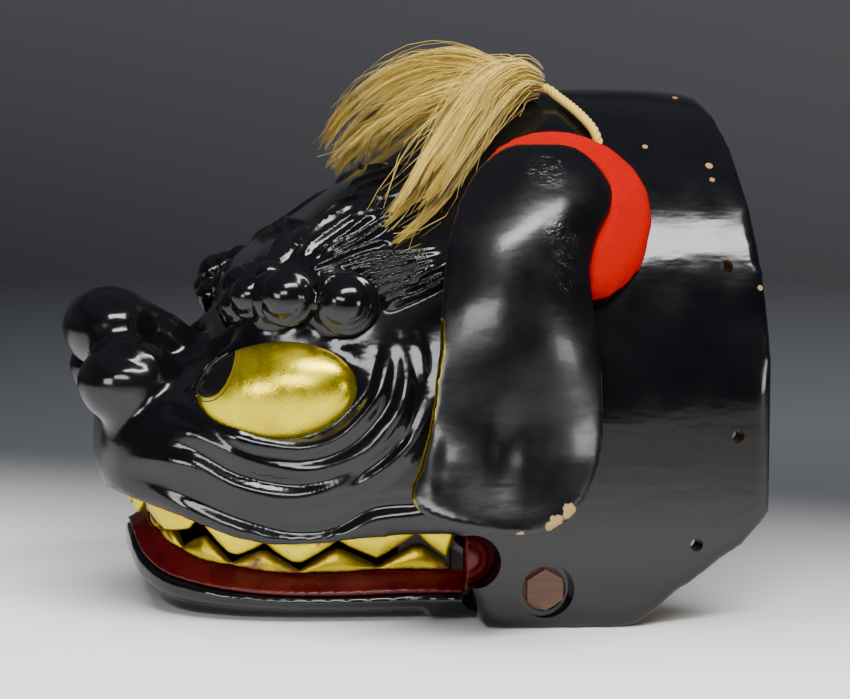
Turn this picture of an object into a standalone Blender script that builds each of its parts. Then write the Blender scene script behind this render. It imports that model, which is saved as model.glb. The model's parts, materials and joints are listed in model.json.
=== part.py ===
# Lion dance head: carved and lacquered wood, with a hinged lower jaw.
# The lion faces -X, its left side is at -Y, and it stands on the floor at Z = 0.
# Lengths in the tables are in millimetres, and MM turns them into metres.

import math

import bmesh
import bpy
from mathutils import Matrix, Vector

MM = 0.001
GAP = 0.3  # clearance between neighbouring pieces

# Head
WALL = 13.0  # thickness of the carved wood
RING_POINTS = 11  # points of half a head section
HEAD_SECTIONS = [
    # x, top, half width at the bottom, greatest half width, its height, roundness
    (-170, 106, 36, 40, 92, 2.4),
    (-166, 117, 49, 53, 95, 2.6),
    (-158, 126, 60, 65, 96, 2.8),
    (-146, 132, 70, 76, 96, 2.8),
    (-130, 138, 82, 87, 95, 2.6),
    (-114, 144, 90, 94, 92, 2.3),
    (-105, 148, 94, 98, 90, 2.2),
    (-100, 170, 96, 100, 92, 2.4),
    (-95, 192, 97, 101, 95, 2.8),
    (-86, 207, 99, 103, 95, 3.0),
    (-72, 217, 104, 106, 95, 3.0),
    (-55, 228, 109, 111, 95, 2.8),
    (-35, 240, 114, 118, 98, 2.4),
    (-5, 255, 120, 127, 105, 2.1),
    (35, 281, 130, 137, 112, 1.9),
    (70, 291, 136, 142, 116, 1.85),
    (109, 297, 142, 147, 120, 1.8),
    (150, 297, 146, 151, 124, 1.8),
    (189, 294, 149, 153, 126, 1.8),
]
SIDE_BOTTOM = -12.0  # the sections reach below the floor, and the outline cuts them
UNDERSIDE = [
    # x, z of the lower edge, from the front lip to the rear rim
    (-200, 73),
    (-168, 72),
    (-152, 67.4),
    (-131, 61),
    (-101, 49.6),
    (-78, 45.2),
    (-43, 48.7),
    (-13, 51.8),
    (21, 53),
    (22, 34),
    (32, 0),
    (116, 0),
    (134, 16),
    (174, 45),
    (200, 72),
]
HOLLOW_START = -143.0  # front end of the hollow
HOLLOW_STEPS = 11

# Nose, as balls and a swept bridge
NOSE_BALLS = [
    # x, y, z, radius along x, y, z
    (-161.5, 0, 159, 27.5, 36, 25),
    (-153, 43, 131, 29, 25, 24),
    (-153, -43, 131, 29, 25, 24),
]
BRIDGE = [
    # x, z, radius
    (-160, 158, 24),
    (-140, 149, 23),
    (-118, 134, 22),
    (-98, 124, 24),
    (-78, 130, 26),
]

# Brow curls on one side, mirrored to the other
BROW_CURLS = [
    # x, y, z, radius
    (-45, -101, 178, 21),
    (-76, -87, 179, 20),
    (-92, -59, 184, 19),
    (-96, -24, 190, 19),
]
CURL_LEAN = 37.0  # degrees

# Eyes
EYE_CENTRE = (-77, -95, 130)
EYE_RADII = (46, 22, 28)
EYE_YAW = 25.0  # degrees by which the eye turns to the front
EYE_PITCH = -7.0  # degrees by which its rear end rises
EYE_SEAT = 6.0  # how far it sits in the wall

# Mouth, along one side from the middle of the front to the corner
MOUTH = [
    # x, y of the outer upper lip, lip edge z, inset of the upper teeth,
    # inset of the jaw, z of the jaw's outer edge, z of the lower tooth base
    (-170, 0, 73, 16, 18, 43, 52),
    (-168, 24, 72, 16, 17, 40, 50),
    (-160, 46, 69, 14, 14, 31, 44),
    (-147, 66, 66, 12, 12, 24, 38),
    (-128, 82, 60, 11, 11, 20, 32),
    (-105, 94, 51, 10, 10, 17, 29),
    (-75, 104, 45, 10, 10, 15, 26),
    (-40, 112, 49, 10, 11, 15, 27),
    (-10, 118, 52, 10, 12, 16, 28),
    (22, 125, 52, 10, 13, 16, 27),
]
STRAIGHT_FROM = -75  # behind this x the mouth is nearly straight
GUM_UP = 15.0  # height of the upper gum above the lip edge
GUM_DEPTH = 12.0
GUM_RISE = 3.0  # the gum's lower face stands above the lip edge
GUM_LAP = 1.0  # the gum reaches this far outside its teeth
CHANNEL_IN = 8.0  # the gum's channel runs on into the hollow
CHANNEL_DOWN = 14.0  # and past the lip edge
TOOTH_THICK = 5.0
UPPER_TEETH = [
    # start, tip and end along the row, length
    (0, 12, 24, 16),
    (24, 36, 48, 17),
    (48, 59, 71, 18),
    (71, 84, 100, 16),
    (100, 122, 141, 14),
    (141, 160, 183, 12),
    (183, 205, 227, 14),
    (227, 243, 248, 15),
]
LOWER_TEETH = [
    (0, 12, 24, 9),
    (24, 36, 48, 10),
    (48, 63, 78, 12),
    (78, 97, 117, 14),
    (117, 138, 160, 12),
    (160, 181, 205, 14),
    (205, 228, 245, 15),
]
CORNER = (24, 38)  # middle of the stepped mouth corner
CORNER_RADIUS = 15.0
CORNER_INNER = 110.0
CORNER_OUTER = 123.0
CORNER_FRONT = 24.5
CORNER_LINK = [(17, 57), (17, 64), (34, 64), (34, 46), (26, 46), (26, 57)]  # joins it to the gum
LINK_IN = 0.5  # the link's faces, from the corner's inner face
LINK_OUT = 4.5
CUT_PAST = 150.0  # cutters end outside the head

# Jaw
HINGE = (64.4, 22.0)
JAW_SECTION = [
    # share of the height, inset from the outer edge
    (1.0, 0.0),
    (0.8, -0.8),
    (0.55, 0.6),
    (0.4, 4.5),
    (0.28, 4.0),
    (0.12, 6.5),
    (0.0, 13.0),
]
BOW_RAKE = 0.022  # how much the high front leans in towards its foot
JAW_WALL = 19.0
JAW_FLOOR = 8.0
FLOOR_STEPS = 14
JAW_LIFT = 0.7  # the middle of the jaw stands clear of the floor
ARM_FRONT = [(6, 13), (6, 3), (30, 3)]  # x and z of the arm, before its round end
ARM_TOP = [(40, 32), (29.5, 13)]
ARM_INNER = 97.0
ARM_OUTER = 109.0
ARM_RADIUS = 16.0
LIP_SLOPE = 14.0  # width of the sloping red lip
AXLE_RADIUS = 12.0
AXLE_HALF = 136.5
WORN_RADIUS = 16.0
WORN_DEPTH = 4.0

# Ears, as rows from the top to the flared bottom
EAR_ROWS = [
    # z, x of the front edge, x of the rear edge, y of the crest, bulge
    (262, 52, 82, -112, 4),
    (258, 38, 92, -118, 9),
    (250, 25, 99, -128, 14),
    (240, 17, 101, -137, 17),
    (228, 13, 97, -146, 18),
    (214, 9, 87, -154, 18),
    (198, 5, 82, -160, 17),
    (180, 2, 83, -165, 15),
    (158, 0, 85, -168, 13),
    (136, -3, 86, -171, 12),
    (116, -6, 86, -173, 12),
    (100, -11, 84, -175, 13),
    (88, -17, 80, -178, 15),
    (77, -16, 74, -181, 17),
    (68, -2, 65, -183, 12),
    (62, 22, 54, -183, 5),
]
EAR_COLUMNS = 6
EAR_WALL = 6.5
EAR_ROOM = 1.2  # space between the ear's inner face and its pad
EAR_SPREAD = 1.06  # the clearance is a little wider than the ear

# Ear pads and pegs
PAD_CENTRE = (80, -112, 229)
PAD_RADIUS = 55.0
PAD_HALF = 17.0
PAD_TILT = 35.0  # degrees by which the pad looks up
PEG_POINT = (60, -107, 225)
PEG_TILT = 38.0
PEG_RADIUS = 5.0
PEG_IN = 17.0
PEG_OUT = 27.0

# Rim holes on each side
RIM_HOLES = [
    # x, z
    (168, 198),
    (169, 106),
    (147, 46),
]
RIM_HOLE_RADIUS = 3.5

# Hemp tufts: locks of the near and the far one, as paths of x, y, z, radius
LEFT_LOCKS = [
    [(88, -30, 299, 6), (70, -38, 300, 11), (50, -52, 288, 14), (32, -68, 268, 14),
     (16, -84, 248, 12), (0, -98, 230, 9), (-22, -108, 211, 2)],
    [(88, -26, 298, 6), (66, -30, 296, 10), (46, -44, 282, 11), (30, -58, 264, 10),
     (18, -70, 250, 3)],
]
RIGHT_LOCKS = [
    [(88, 30, 299, 6), (66, 40, 307, 11), (42, 54, 305, 14), (16, 68, 291, 14),
     (-4, 80, 270, 12), (-18, 90, 246, 3)],
    [(88, 26, 298, 6), (62, 36, 296, 10), (38, 50, 288, 11), (12, 64, 270, 9),
     (-8, 74, 248, 2)],
]
CORD_RADIUS = 2.8
CORD_ROUTE = [
    # x, distance from the middle, z
    (84.7, 30.4, 298.3),
    (92, 34, 296.2),
    (97, 40, 291.5),
    (100, 49, 287.5),
    (103, 58, 283),
    (106, 66, 278),
    (108.5, 72, 273),
    (110, 75.5, 267.5),
    (110.5, 76.5, 262),
]


def clear_scene():
    for item in list(bpy.data.objects):
        bpy.data.objects.remove(item, do_unlink=True)


def make_collection(name):
    group = bpy.data.collections.new(name)
    bpy.context.scene.collection.children.link(group)
    return group


def make_material(name, colour, roughness, metallic=0.0):
    finish = bpy.data.materials.new(name)
    finish.use_nodes = True
    shader = finish.node_tree.nodes["Principled BSDF"]
    shader.inputs["Base Color"].default_value = (*colour, 1.0)
    shader.inputs["Roughness"].default_value = roughness
    shader.inputs["Metallic"].default_value = metallic
    return finish


clear_scene()
PART = make_collection("lion_dance_head")
TOOLS = make_collection("cutters")
BLACK = make_material("black lacquer", (0.005, 0.005, 0.006), 0.18)
RED = make_material("red lacquer", (0.35, 0.012, 0.008), 0.25)
GOLD = make_material("gold leaf", (0.62, 0.42, 0.06), 0.35, 0.9)
CLOTH = make_material("red cloth", (0.8, 0.025, 0.008), 0.9)
HEMP = make_material("hemp fibre", (0.55, 0.43, 0.18), 0.8)
WOOD = make_material("brown wood", (0.07, 0.03, 0.02), 0.5)


# Small helpers
def blend(table, x, column):
    """Value of a column at x, smooth between the rows."""
    if x <= table[0][0]:
        return table[0][column]
    for i in range(len(table) - 1):
        if x <= table[i + 1][0]:
            before = table[max(i - 1, 0)]
            a = table[i]
            b = table[i + 1]
            after = table[min(i + 2, len(table) - 1)]
            step = b[0] - a[0]
            t = (x - a[0]) / step
            slope = (b[column] - a[column]) / step
            left = slope
            right = slope
            if i > 0:
                left = slope_between((a[column] - before[column]) / (a[0] - before[0]), slope)
            if i + 2 < len(table):
                right = slope_between(slope, (after[column] - b[column]) / (after[0] - b[0]))
            return hermite(a[column], b[column], left * step, right * step, t)
    return table[-1][column]


def slope_between(first, second):
    """Slope at a row that never overshoots its neighbours."""
    if first * second <= 0.0:
        return 0.0
    return 2.0 * first * second / (first + second)


def hermite(a, b, start, end, t):
    t2 = t * t
    t3 = t2 * t
    return (
        (2 * t3 - 3 * t2 + 1) * a
        + (t3 - 2 * t2 + t) * start
        + (3 * t2 - 2 * t3) * b
        + (t3 - t2) * end
    )


def add_mesh(name, bm, finish, tool=False):
    mesh = bpy.data.meshes.new(name)
    bmesh.ops.recalc_face_normals(bm, faces=bm.faces)
    bm.to_mesh(mesh)
    bm.free()
    piece = bpy.data.objects.new(name, mesh)
    mesh.materials.append(finish)
    if tool:
        TOOLS.objects.link(piece)
        piece.hide_render = True
        piece.display_type = "WIRE"
    else:
        PART.objects.link(piece)
    return piece


def loft(name, rings, finish, tool=False):
    """Closed body through rings with the same number of points."""
    bm = bmesh.new()
    loops = []
    for ring in rings:
        loops.append([bm.verts.new(Vector(p) * MM) for p in ring])
    count = len(loops[0])
    for a, b in zip(loops, loops[1:]):
        for k in range(count):
            n = (k + 1) % count
            bm.faces.new((a[k], a[n], b[n], b[k]))
    bmesh.ops.triangulate(bm, faces=bm.faces)  # a twisted face has no plane to cut
    bm.faces.new(loops[0])
    bm.faces.new(list(reversed(loops[-1])))
    return add_mesh(name, bm, finish, tool)


def ball(name, centre, radii, finish, turn=None, segments=16):
    bm = bmesh.new()
    bmesh.ops.create_uvsphere(bm, u_segments=segments, v_segments=segments * 5 // 8, radius=1.0)
    size = Matrix.Diagonal((*[r * MM for r in radii], 1.0))
    place = Matrix.Translation(Vector(centre) * MM)
    turning = turn if turn else Matrix.Identity(4)
    bmesh.ops.transform(bm, matrix=place @ turning @ size, verts=bm.verts)
    return add_mesh(name, bm, finish, True)


def rod(name, start, end, radius, finish, sides=16, tool=True):
    """Cylinder between two points."""
    a = Vector(start) * MM
    b = Vector(end) * MM
    bm = bmesh.new()
    bmesh.ops.create_cone(
        bm,
        cap_ends=True,
        segments=sides,
        radius1=radius * MM,
        radius2=radius * MM,
        depth=(b - a).length,
    )
    turn = (b - a).to_track_quat("Z", "Y").to_matrix().to_4x4()
    bmesh.ops.transform(bm, matrix=Matrix.Translation((a + b) / 2) @ turn, verts=bm.verts)
    return add_mesh(name, bm, finish, tool)


def slab(name, outline, y_low, y_high, finish, tool=True):
    """Outline in X and Z, as thick as from y_low to y_high."""
    bm = bmesh.new()
    corners = [bm.verts.new((x * MM, y_low * MM, z * MM)) for x, z in outline]
    face = bm.faces.new(corners)
    moved = bmesh.ops.extrude_face_region(bm, geom=[face])
    new = [v for v in moved["geom"] if isinstance(v, bmesh.types.BMVert)]
    bmesh.ops.translate(bm, vec=(0, (y_high - y_low) * MM, 0), verts=new)
    return add_mesh(name, bm, finish, tool)


def tube(name, path, finish, tool=False, sides=2):
    """Curve with a bevel, made a mesh; path rows are x, y, z, radius."""
    curve = bpy.data.curves.new(name, "CURVE")
    curve.dimensions = "3D"
    curve.bevel_depth = MM
    curve.bevel_resolution = sides
    curve.use_fill_caps = True
    spline = curve.splines.new("POLY")
    spline.points.add(len(path) - 1)
    for point, (x, y, z, radius) in zip(spline.points, path):
        point.co = (x * MM, y * MM, z * MM, 1.0)
        point.radius = radius
        point.tilt = 0.3
    holder = bpy.data.objects.new(name + "_curve", curve)
    TOOLS.objects.link(holder)
    seen = holder.evaluated_get(bpy.context.evaluated_depsgraph_get())
    mesh = bpy.data.meshes.new_from_object(seen)
    bm = bmesh.new()
    bm.from_mesh(mesh)
    bmesh.ops.remove_doubles(bm, verts=bm.verts, dist=0.00001)
    bmesh.ops.triangulate(bm, faces=bm.faces)
    bpy.data.objects.remove(holder, do_unlink=True)
    bpy.data.meshes.remove(mesh)
    return add_mesh(name, bm, finish, tool)


def smooth_path(points, per_span):
    """Points on a smooth curve through the rows of a path."""
    result = []
    for i in range(len(points) - 1):
        p0 = Vector(points[max(i - 1, 0)])
        p1 = Vector(points[i])
        p2 = Vector(points[i + 1])
        p3 = Vector(points[min(i + 2, len(points) - 1)])
        for k in range(per_span):
            t = k / per_span
            row = 0.5 * (
                2 * p1
                + (p2 - p0) * t
                + (2 * p0 - 5 * p1 + 4 * p2 - p3) * t * t
                + (3 * p1 - p0 - 3 * p2 + p3) * t * t * t
            )
            result.append(tuple(row))
    result.append(tuple(points[-1]))
    return result


def set_origin(piece, point):
    """Moves a piece's origin to a point and leaves the piece where it is."""
    piece.data.transform(Matrix.Translation(-Vector(point) * MM))
    piece.location = Vector(point) * MM


def combine(piece, other, operation):
    step = piece.modifiers.new(other.name, "BOOLEAN")
    step.operation = operation
    step.solver = "EXACT"
    step.object = other


# Head sections
def head_ring(x, shape, shrink):
    """Ring at x with the head's shape at another x, made smaller by shrink."""
    top, low, wide, z_wide, roundness = [blend(HEAD_SECTIONS, shape, c) for c in range(1, 6)]
    low -= shrink
    wide -= shrink
    top -= shrink
    half = []
    for k in range(RING_POINTS):
        share = k / (RING_POINTS - 1)
        if share < 0.3:
            t = share / 0.3
            half.append((low + (wide - low) * math.sin(t * math.pi / 2),
                         SIDE_BOTTOM + (z_wide - SIDE_BOTTOM) * t))
        else:
            angle = (share - 0.3) / 0.7 * math.pi / 2
            y = wide * abs(math.cos(angle)) ** (2 / roundness)
            z = z_wide + (top - z_wide) * math.sin(angle) ** (2 / roundness)
            half.append((y, z))
    half[-1] = (0.0, half[-1][1])
    left = [(x, -y, z) for y, z in half]
    right = [(x, y, z) for y, z in reversed(half[:-1])]
    return left + right


def head_body(name, finish, grow, tool):
    rings = [head_ring(row[0], row[0], -grow) for row in HEAD_SECTIONS]
    return loft(name, rings, finish, tool)


def hollow():
    step = (200 - HOLLOW_START) / HOLLOW_STEPS
    stations = [HOLLOW_START + k * step for k in range(HOLLOW_STEPS + 1)]
    rings = []
    for x in stations:
        ring = head_ring(x, max(x - WALL, -157), WALL)
        rings.append([(p[0], p[1], p[2] - 30 if i in (0, 2 * RING_POINTS - 2) else p[2])
                      for i, p in enumerate(ring)])
    return loft("hollow", rings, BLACK, True)


# Mouth path
def mouth_path():
    """Rows along the whole mouth, right side first, each with its normal."""
    rows = smooth_path(MOUTH, 2)
    side = [r for i, r in enumerate(rows) if i % 2 == 0 or r[0] < STRAIGHT_FROM]
    whole = [(r[0], -r[1], *r[2:]) for r in reversed(side[1:])] + side
    whole = [(r[0], -r[1], *r[2:]) for r in whole]
    placed = []
    travelled = 0.0
    for i, row in enumerate(whole):
        before = whole[max(i - 1, 0)]
        after = whole[min(i + 1, len(whole) - 1)]
        run = Vector((after[0] - before[0], after[1] - before[1])).normalized()
        inward = Vector((-run.y, run.x))
        if inward.dot(Vector((60 - row[0], -row[1]))) < 0:
            inward = -inward
        if i > 0:
            travelled += math.hypot(row[0] - before[0], row[1] - before[1])
        placed.append({"x": row[0], "y": row[1], "in": inward, "lip": row[2], "upper": row[3],
                       "jaw": row[4], "edge": row[5], "base": row[6], "run": travelled})
    middle = placed[len(placed) // 2]["run"]
    for spot in placed:
        spot["run"] -= middle
    return placed


def spot_at(path, run):
    """The mouth path's values at a distance along it."""
    for a, b in zip(path, path[1:]):
        if a["run"] <= run <= b["run"]:
            t = (run - a["run"]) / (b["run"] - a["run"])
            mixed = {}
            for key in a:
                mixed[key] = a[key] * (1 - t) + b[key] * t
            mixed["in"] = mixed["in"].normalized()
            return mixed
    return path[0] if run < 0 else path[-1]


def section_ring(spot, corners):
    """Ring across the mouth path; corners are inset and z."""
    return [(spot["x"] + spot["in"].x * inset, spot["y"] + spot["in"].y * inset, z)
            for inset, z in corners]


def band(name, path, corners, finish, tool=False):
    """Sweeps a section along the mouth; corners gives it at each spot."""
    return loft(name, [section_ring(s, corners(s)) for s in path], finish, tool)


def tooth_row(name, path, teeth, corners, finish):
    """Pointed teeth along the mouth, the same on both sides."""
    stops = []
    for start, tip, end, length in teeth:
        if not stops:
            stops.append((start, 0.6))
        stops.append((start + 0.45 * (tip - start), 0.52 * length))
        stops.append((tip - 1.2, length))
        stops.append((tip + 1.2, length))
        stops.append((tip + 0.55 * (end - tip), 0.52 * length))
        stops.append((end, 0.6))
    both = [(-s, length) for s, length in reversed(stops[1:])] + stops
    rings = []
    for run, length in both:
        spot = spot_at(path, run)
        rings.append(section_ring(spot, corners(spot, length)))
    return loft(name, rings, finish)


def upper_gum_corners(spot):
    outer = spot["upper"] - GUM_LAP
    inner = spot["upper"] + GUM_DEPTH
    low = spot["lip"] + GUM_RISE
    high = spot["lip"] + GUM_UP
    return [(outer, low), (outer, high), (inner, high), (inner, low)]


def gum_channel_corners(spot):
    """Room for the gum and the teeth, open to the hollow and downwards."""
    outer = spot["upper"] - GUM_LAP - GAP
    inner = spot["upper"] + GUM_DEPTH + CHANNEL_IN
    low = spot["lip"] - CHANNEL_DOWN
    high = spot["lip"] + GUM_UP + GAP
    return [(outer, low), (outer, high), (inner, high), (inner, low)]


def upper_tooth_corners(spot, length):
    outer = spot["upper"]
    inner = outer + TOOTH_THICK
    top = spot["lip"] + GUM_RISE - 2 * GAP
    tip = spot["lip"] - length
    return [(outer, top), (inner, top), (inner - 0.4, tip), (outer + 1.6, tip)]


def lower_tooth_corners(spot, length):
    outer = spot["jaw"] + LIP_SLOPE - 3.0
    inner = outer + TOOTH_THICK
    foot = spot["base"] + GAP
    return [(outer, foot), (outer + 1.6, foot + length), (inner - 0.4, foot + length), (inner, foot)]


def lower_gum_corners(spot):
    outer = spot["jaw"]
    low = spot["edge"] + GAP
    high = spot["base"]
    return [
        (outer + 0.4, low),
        (outer, low + 2.2),
        (outer + 5, low + 0.45 * (high - low) + 1.0),
        (outer + LIP_SLOPE - 4, high),
        (outer + JAW_WALL, high),
        (outer + JAW_WALL, low),
    ]


def jaw_corners(spot):
    height = spot["edge"]
    rake = 1 + BOW_RAKE * max(0.0, height - 20)
    outer = [(spot["jaw"] + inset * rake, share * height) for share, inset in JAW_SECTION]
    inner = spot["jaw"] + JAW_WALL
    return outer + [(inner + 6 * (rake - 1), 0.0), (inner, height)]


def build_head():
    head = head_body("head_shell", BLACK, 0.0, False)
    for k, row in enumerate(NOSE_BALLS):
        combine(head, ball(f"nose_{k}", row[:3], row[3:], BLACK), "UNION")
    bridge = [(x, 0.0, z, r) for x, z, r in BRIDGE]
    combine(head, tube("bridge", smooth_path(bridge, 2), BLACK, True, 4), "UNION")
    for side in (1, -1):
        for k, (x, y, z, r) in enumerate(BROW_CURLS):
            lean = Matrix.Rotation(math.radians(CURL_LEAN * side), 4, "X")
            curl = ball(f"curl_{k}_{side}", (x, y * side, z), (r, r, r), BLACK, lean, 10)
            combine(head, curl, "UNION")
    combine(head, hollow(), "DIFFERENCE")
    below = [(x, z) for x, z in UNDERSIDE] + [(200, -60), (-200, -60)]
    combine(head, slab("underside", below, -230, 230, BLACK), "DIFFERENCE")
    return head


def eye_turn(side):
    yaw = Matrix.Rotation(math.radians(-EYE_YAW * side), 4, "Z")
    pitch = Matrix.Rotation(math.radians(EYE_PITCH), 4, "Y")
    return yaw @ pitch


def eye_solid(name, side, grow, tool):
    """Egg cut flat at the back; side is 1 at -Y."""
    radii = [r + grow for r in EYE_RADII]
    bm = bmesh.new()
    bmesh.ops.create_uvsphere(bm, u_segments=18, v_segments=10, radius=1.0)
    bmesh.ops.rotate(bm, matrix=Matrix.Rotation(math.pi / 2, 3, "X"), verts=bm.verts)
    bmesh.ops.scale(bm, vec=[r * MM for r in radii], verts=bm.verts)
    back = (EYE_SEAT + grow) * side * MM
    every = bm.verts[:] + bm.edges[:] + bm.faces[:]
    cut = bmesh.ops.bisect_plane(bm, geom=every, plane_co=(0, back, 0), plane_no=(0, side, 0),
                                 clear_outer=True)
    edges = [e for e in cut["geom_cut"] if isinstance(e, bmesh.types.BMEdge)]
    bmesh.ops.contextual_create(bm, geom=edges)
    x, y, z = EYE_CENTRE
    place = Matrix.Translation(Vector((x, y * side, z)) * MM) @ eye_turn(side)
    bmesh.ops.transform(bm, matrix=place, verts=bm.verts)
    return add_mesh(name, bm, GOLD, tool)


def build_eyes(head):
    for side, word in ((1, "left"), (-1, "right")):
        combine(head, eye_solid(f"socket_{word}", side, GAP, True), "DIFFERENCE")
        eye_solid(f"eye_{word}", side, 0.0, False)


def build_mouth(head, path):
    channel = band("gum_channel", path, gum_channel_corners, RED, True)
    combine(head, channel, "DIFFERENCE")
    gum = band("upper_gum", path, upper_gum_corners, RED)
    tooth_row("upper_teeth", path, UPPER_TEETH, upper_tooth_corners, GOLD)
    x, z = CORNER
    half_turn = [math.radians(a) for a in range(-90, 91, 15)]
    half_disc = [(CORNER_FRONT + CORNER_RADIUS * math.cos(a), z + CORNER_RADIUS * math.sin(a))
                 for a in half_turn]
    for side in (1, -1):
        low, high = sorted((-side * CORNER_INNER, -side * CORNER_OUTER))
        combine(gum, slab(f"corner_{side}", half_disc, low, high, RED), "UNION")
        low, high = sorted((-side * (CORNER_INNER + LINK_IN), -side * (CORNER_INNER + LINK_OUT)))
        combine(gum, slab(f"corner_link_{side}", CORNER_LINK, low, high, RED), "UNION")
        start = (CORNER_FRONT, -side * (CORNER_INNER - 2), z)
        end = (CORNER_FRONT, -side * CUT_PAST, z)
        notch = rod(f"corner_notch_{side}", start, end, CORNER_RADIUS + GAP, RED, 16)
        combine(head, notch, "DIFFERENCE")


def build_jaw(path):
    jaw = band("jaw", path, jaw_corners, BLACK)
    ends = range(-FLOOR_STEPS, FLOOR_STEPS + 1)
    spots = [spot_at(path, path[-1]["run"] * 0.985 * k / FLOOR_STEPS) for k in ends]
    inner = [section_ring(s, [(s["jaw"] + JAW_WALL - 6, 0.0)])[0] for s in spots]
    bm = bmesh.new()
    corners = [bm.verts.new((x * MM, y * MM, 0.0)) for x, y, z in inner]
    face = bm.faces.new(corners)
    moved = bmesh.ops.extrude_face_region(bm, geom=[face])
    new = [v for v in moved["geom"] if isinstance(v, bmesh.types.BMVert)]
    bmesh.ops.translate(bm, vec=(0, 0, JAW_FLOOR * MM), verts=new)
    bmesh.ops.translate(bm, vec=(0, 0, JAW_LIFT * MM), verts=bm.verts)
    combine(jaw, add_mesh("jaw_floor", bm, BLACK, True), "UNION")
    hinge_x, hinge_z = HINGE
    for side in (1, -1):
        turn = [math.radians(a) for a in range(-90, 91, 15)]
        round_end = [(hinge_x + ARM_RADIUS * math.cos(a), hinge_z + ARM_RADIUS * math.sin(a))
                     for a in turn]
        outline = ARM_FRONT + round_end + ARM_TOP
        low, high = sorted((-side * ARM_INNER, -side * ARM_OUTER))
        combine(jaw, slab(f"arm_{side}", outline, low, high, BLACK), "UNION")
    bore = rod("jaw_bore", (hinge_x, -130, hinge_z), (hinge_x, 130, hinge_z), AXLE_RADIUS + GAP,
               BLACK, 20)
    combine(jaw, bore, "DIFFERENCE")
    return jaw


def build_axle(head):
    x, z = HINGE
    wide = AXLE_HALF
    axle = rod("jaw_axle", (x, -wide + WORN_DEPTH, z), (x, wide - WORN_DEPTH, z), AXLE_RADIUS,
               WOOD, 20, False)
    ends = rod("axle_ends", (x, -wide, z), (x, wide, z), AXLE_RADIUS - 0.4, WOOD, 6)
    combine(axle, ends, "UNION")
    bore = rod("axle_bore", (x, -170, z), (x, 170, z), AXLE_RADIUS + GAP, BLACK, 20)
    combine(head, bore, "DIFFERENCE")
    for side in (1, -1):
        start = (x, -side * (AXLE_HALF - WORN_DEPTH + 1), z)
        worn = rod(f"worn_{side}", start, (x, -side * 160, z), WORN_RADIUS, BLACK, 16)
        combine(head, worn, "DIFFERENCE")
    return axle


def ear_point(row, across, side):
    """Point of the ear's outer face; across is -1 at the front edge and 1 at the rear."""
    z, front, rear, crest, bulge = row
    x = (front + rear) / 2 + (rear - front) / 2 * across
    return Vector((x, (crest + bulge * across * across) * side, z))


def build_ear(name, side):
    """Open sheet of the outer face, thickened inwards; side is 1 at -Y."""
    last = len(EAR_ROWS) - 1
    bm = bmesh.new()
    bmesh.ops.create_grid(bm, x_segments=EAR_COLUMNS, y_segments=last, size=1.0)
    for vert in bm.verts:
        row = EAR_ROWS[round((1 - vert.co.y) / 2 * last)]
        vert.co = ear_point(row, vert.co.x, side) * MM
    ear = add_mesh(name, bm, BLACK)
    middle = ear.data.polygons[len(ear.data.polygons) // 2]
    if middle.normal.y * side > 0:
        ear.data.flip_normals()
    wall = ear.modifiers.new("wall", "SOLIDIFY")
    wall.thickness = EAR_WALL * MM
    wall.offset = -1.0
    return ear


def ear_clearance(name, side):
    """Space of the ear and of all that lies outside it, with the gap round it."""
    rings = []
    for i, row in enumerate(EAR_ROWS):
        above = EAR_ROWS[max(i - 1, 0)]
        below = EAR_ROWS[min(i + 1, len(EAR_ROWS) - 1)]
        past_end = -6 if i == 0 else 6 if row is EAR_ROWS[-1] else 0
        inner = []
        outer = []
        for k in range(EAR_COLUMNS + 1):
            across = -1 + 2 * k / EAR_COLUMNS
            down = ear_point(below, across, side) - ear_point(above, across, side)
            along = ear_point(row, across + 0.01, side) - ear_point(row, across - 0.01, side)
            outward = down.cross(along).normalized() * side
            point = ear_point(row, across * EAR_SPREAD, side) + down.normalized() * past_end
            inner.append(point - outward * (EAR_WALL + EAR_ROOM))
            outer.append(point + outward * 40)
        rings.append(inner + list(reversed(outer)))
    return loft(name, rings, BLACK, True)


def tilted(point, tilt, side, distance):
    """Point moved outward and up along a tilted line."""
    x, y, z = point
    angle = math.radians(tilt)
    return (x, (y - distance * math.cos(angle)) * side, z + distance * math.sin(angle))


def build_ears(head, skull):
    for side, word in ((1, "left"), (-1, "right")):
        ear = build_ear(f"ear_{word}", side)
        cutter = ear_clearance(f"ear_clearance_{word}", side)
        start = tilted(PEG_POINT, PEG_TILT, side, -PEG_IN)
        end = tilted(PEG_POINT, PEG_TILT, side, PEG_OUT)
        deeper = tilted(PEG_POINT, PEG_TILT, side, PEG_OUT + GAP)
        before = tilted(PEG_POINT, PEG_TILT, side, -PEG_IN - 10)
        rod(f"ear_peg_{word}", start, end, PEG_RADIUS, WOOD, 12, False)
        hole = rod(f"peg_hole_{word}", before, deeper, PEG_RADIUS + GAP, WOOD, 12)
        pad = pad_solid(word, side)
        combine(pad, skull, "DIFFERENCE")
        combine(pad, cutter, "DIFFERENCE")
        for piece in (head, ear, pad):
            combine(piece, hole, "DIFFERENCE")


def pad_solid(word, side):
    bm = bmesh.new()
    bmesh.ops.create_uvsphere(bm, u_segments=18, v_segments=6, radius=1.0)
    bmesh.ops.scale(bm, vec=(PAD_RADIUS * MM, PAD_RADIUS * MM, PAD_HALF * MM), verts=bm.verts)
    turn = Matrix.Rotation(math.radians((90 - PAD_TILT) * side), 4, "X")
    x, y, z = PAD_CENTRE
    place = Matrix.Translation(Vector((x, y * side, z)) * MM)
    bmesh.ops.transform(bm, matrix=place @ turn, verts=bm.verts)
    return add_mesh(f"ear_pad_{word}", bm, CLOTH)


def build_rim_holes(head):
    for x, z in RIM_HOLES:
        hole = rod(f"rim_hole_{x}", (x, -200, z), (x, 200, z), RIM_HOLE_RADIUS, BLACK, 8)
        combine(head, hole, "DIFFERENCE")


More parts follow.
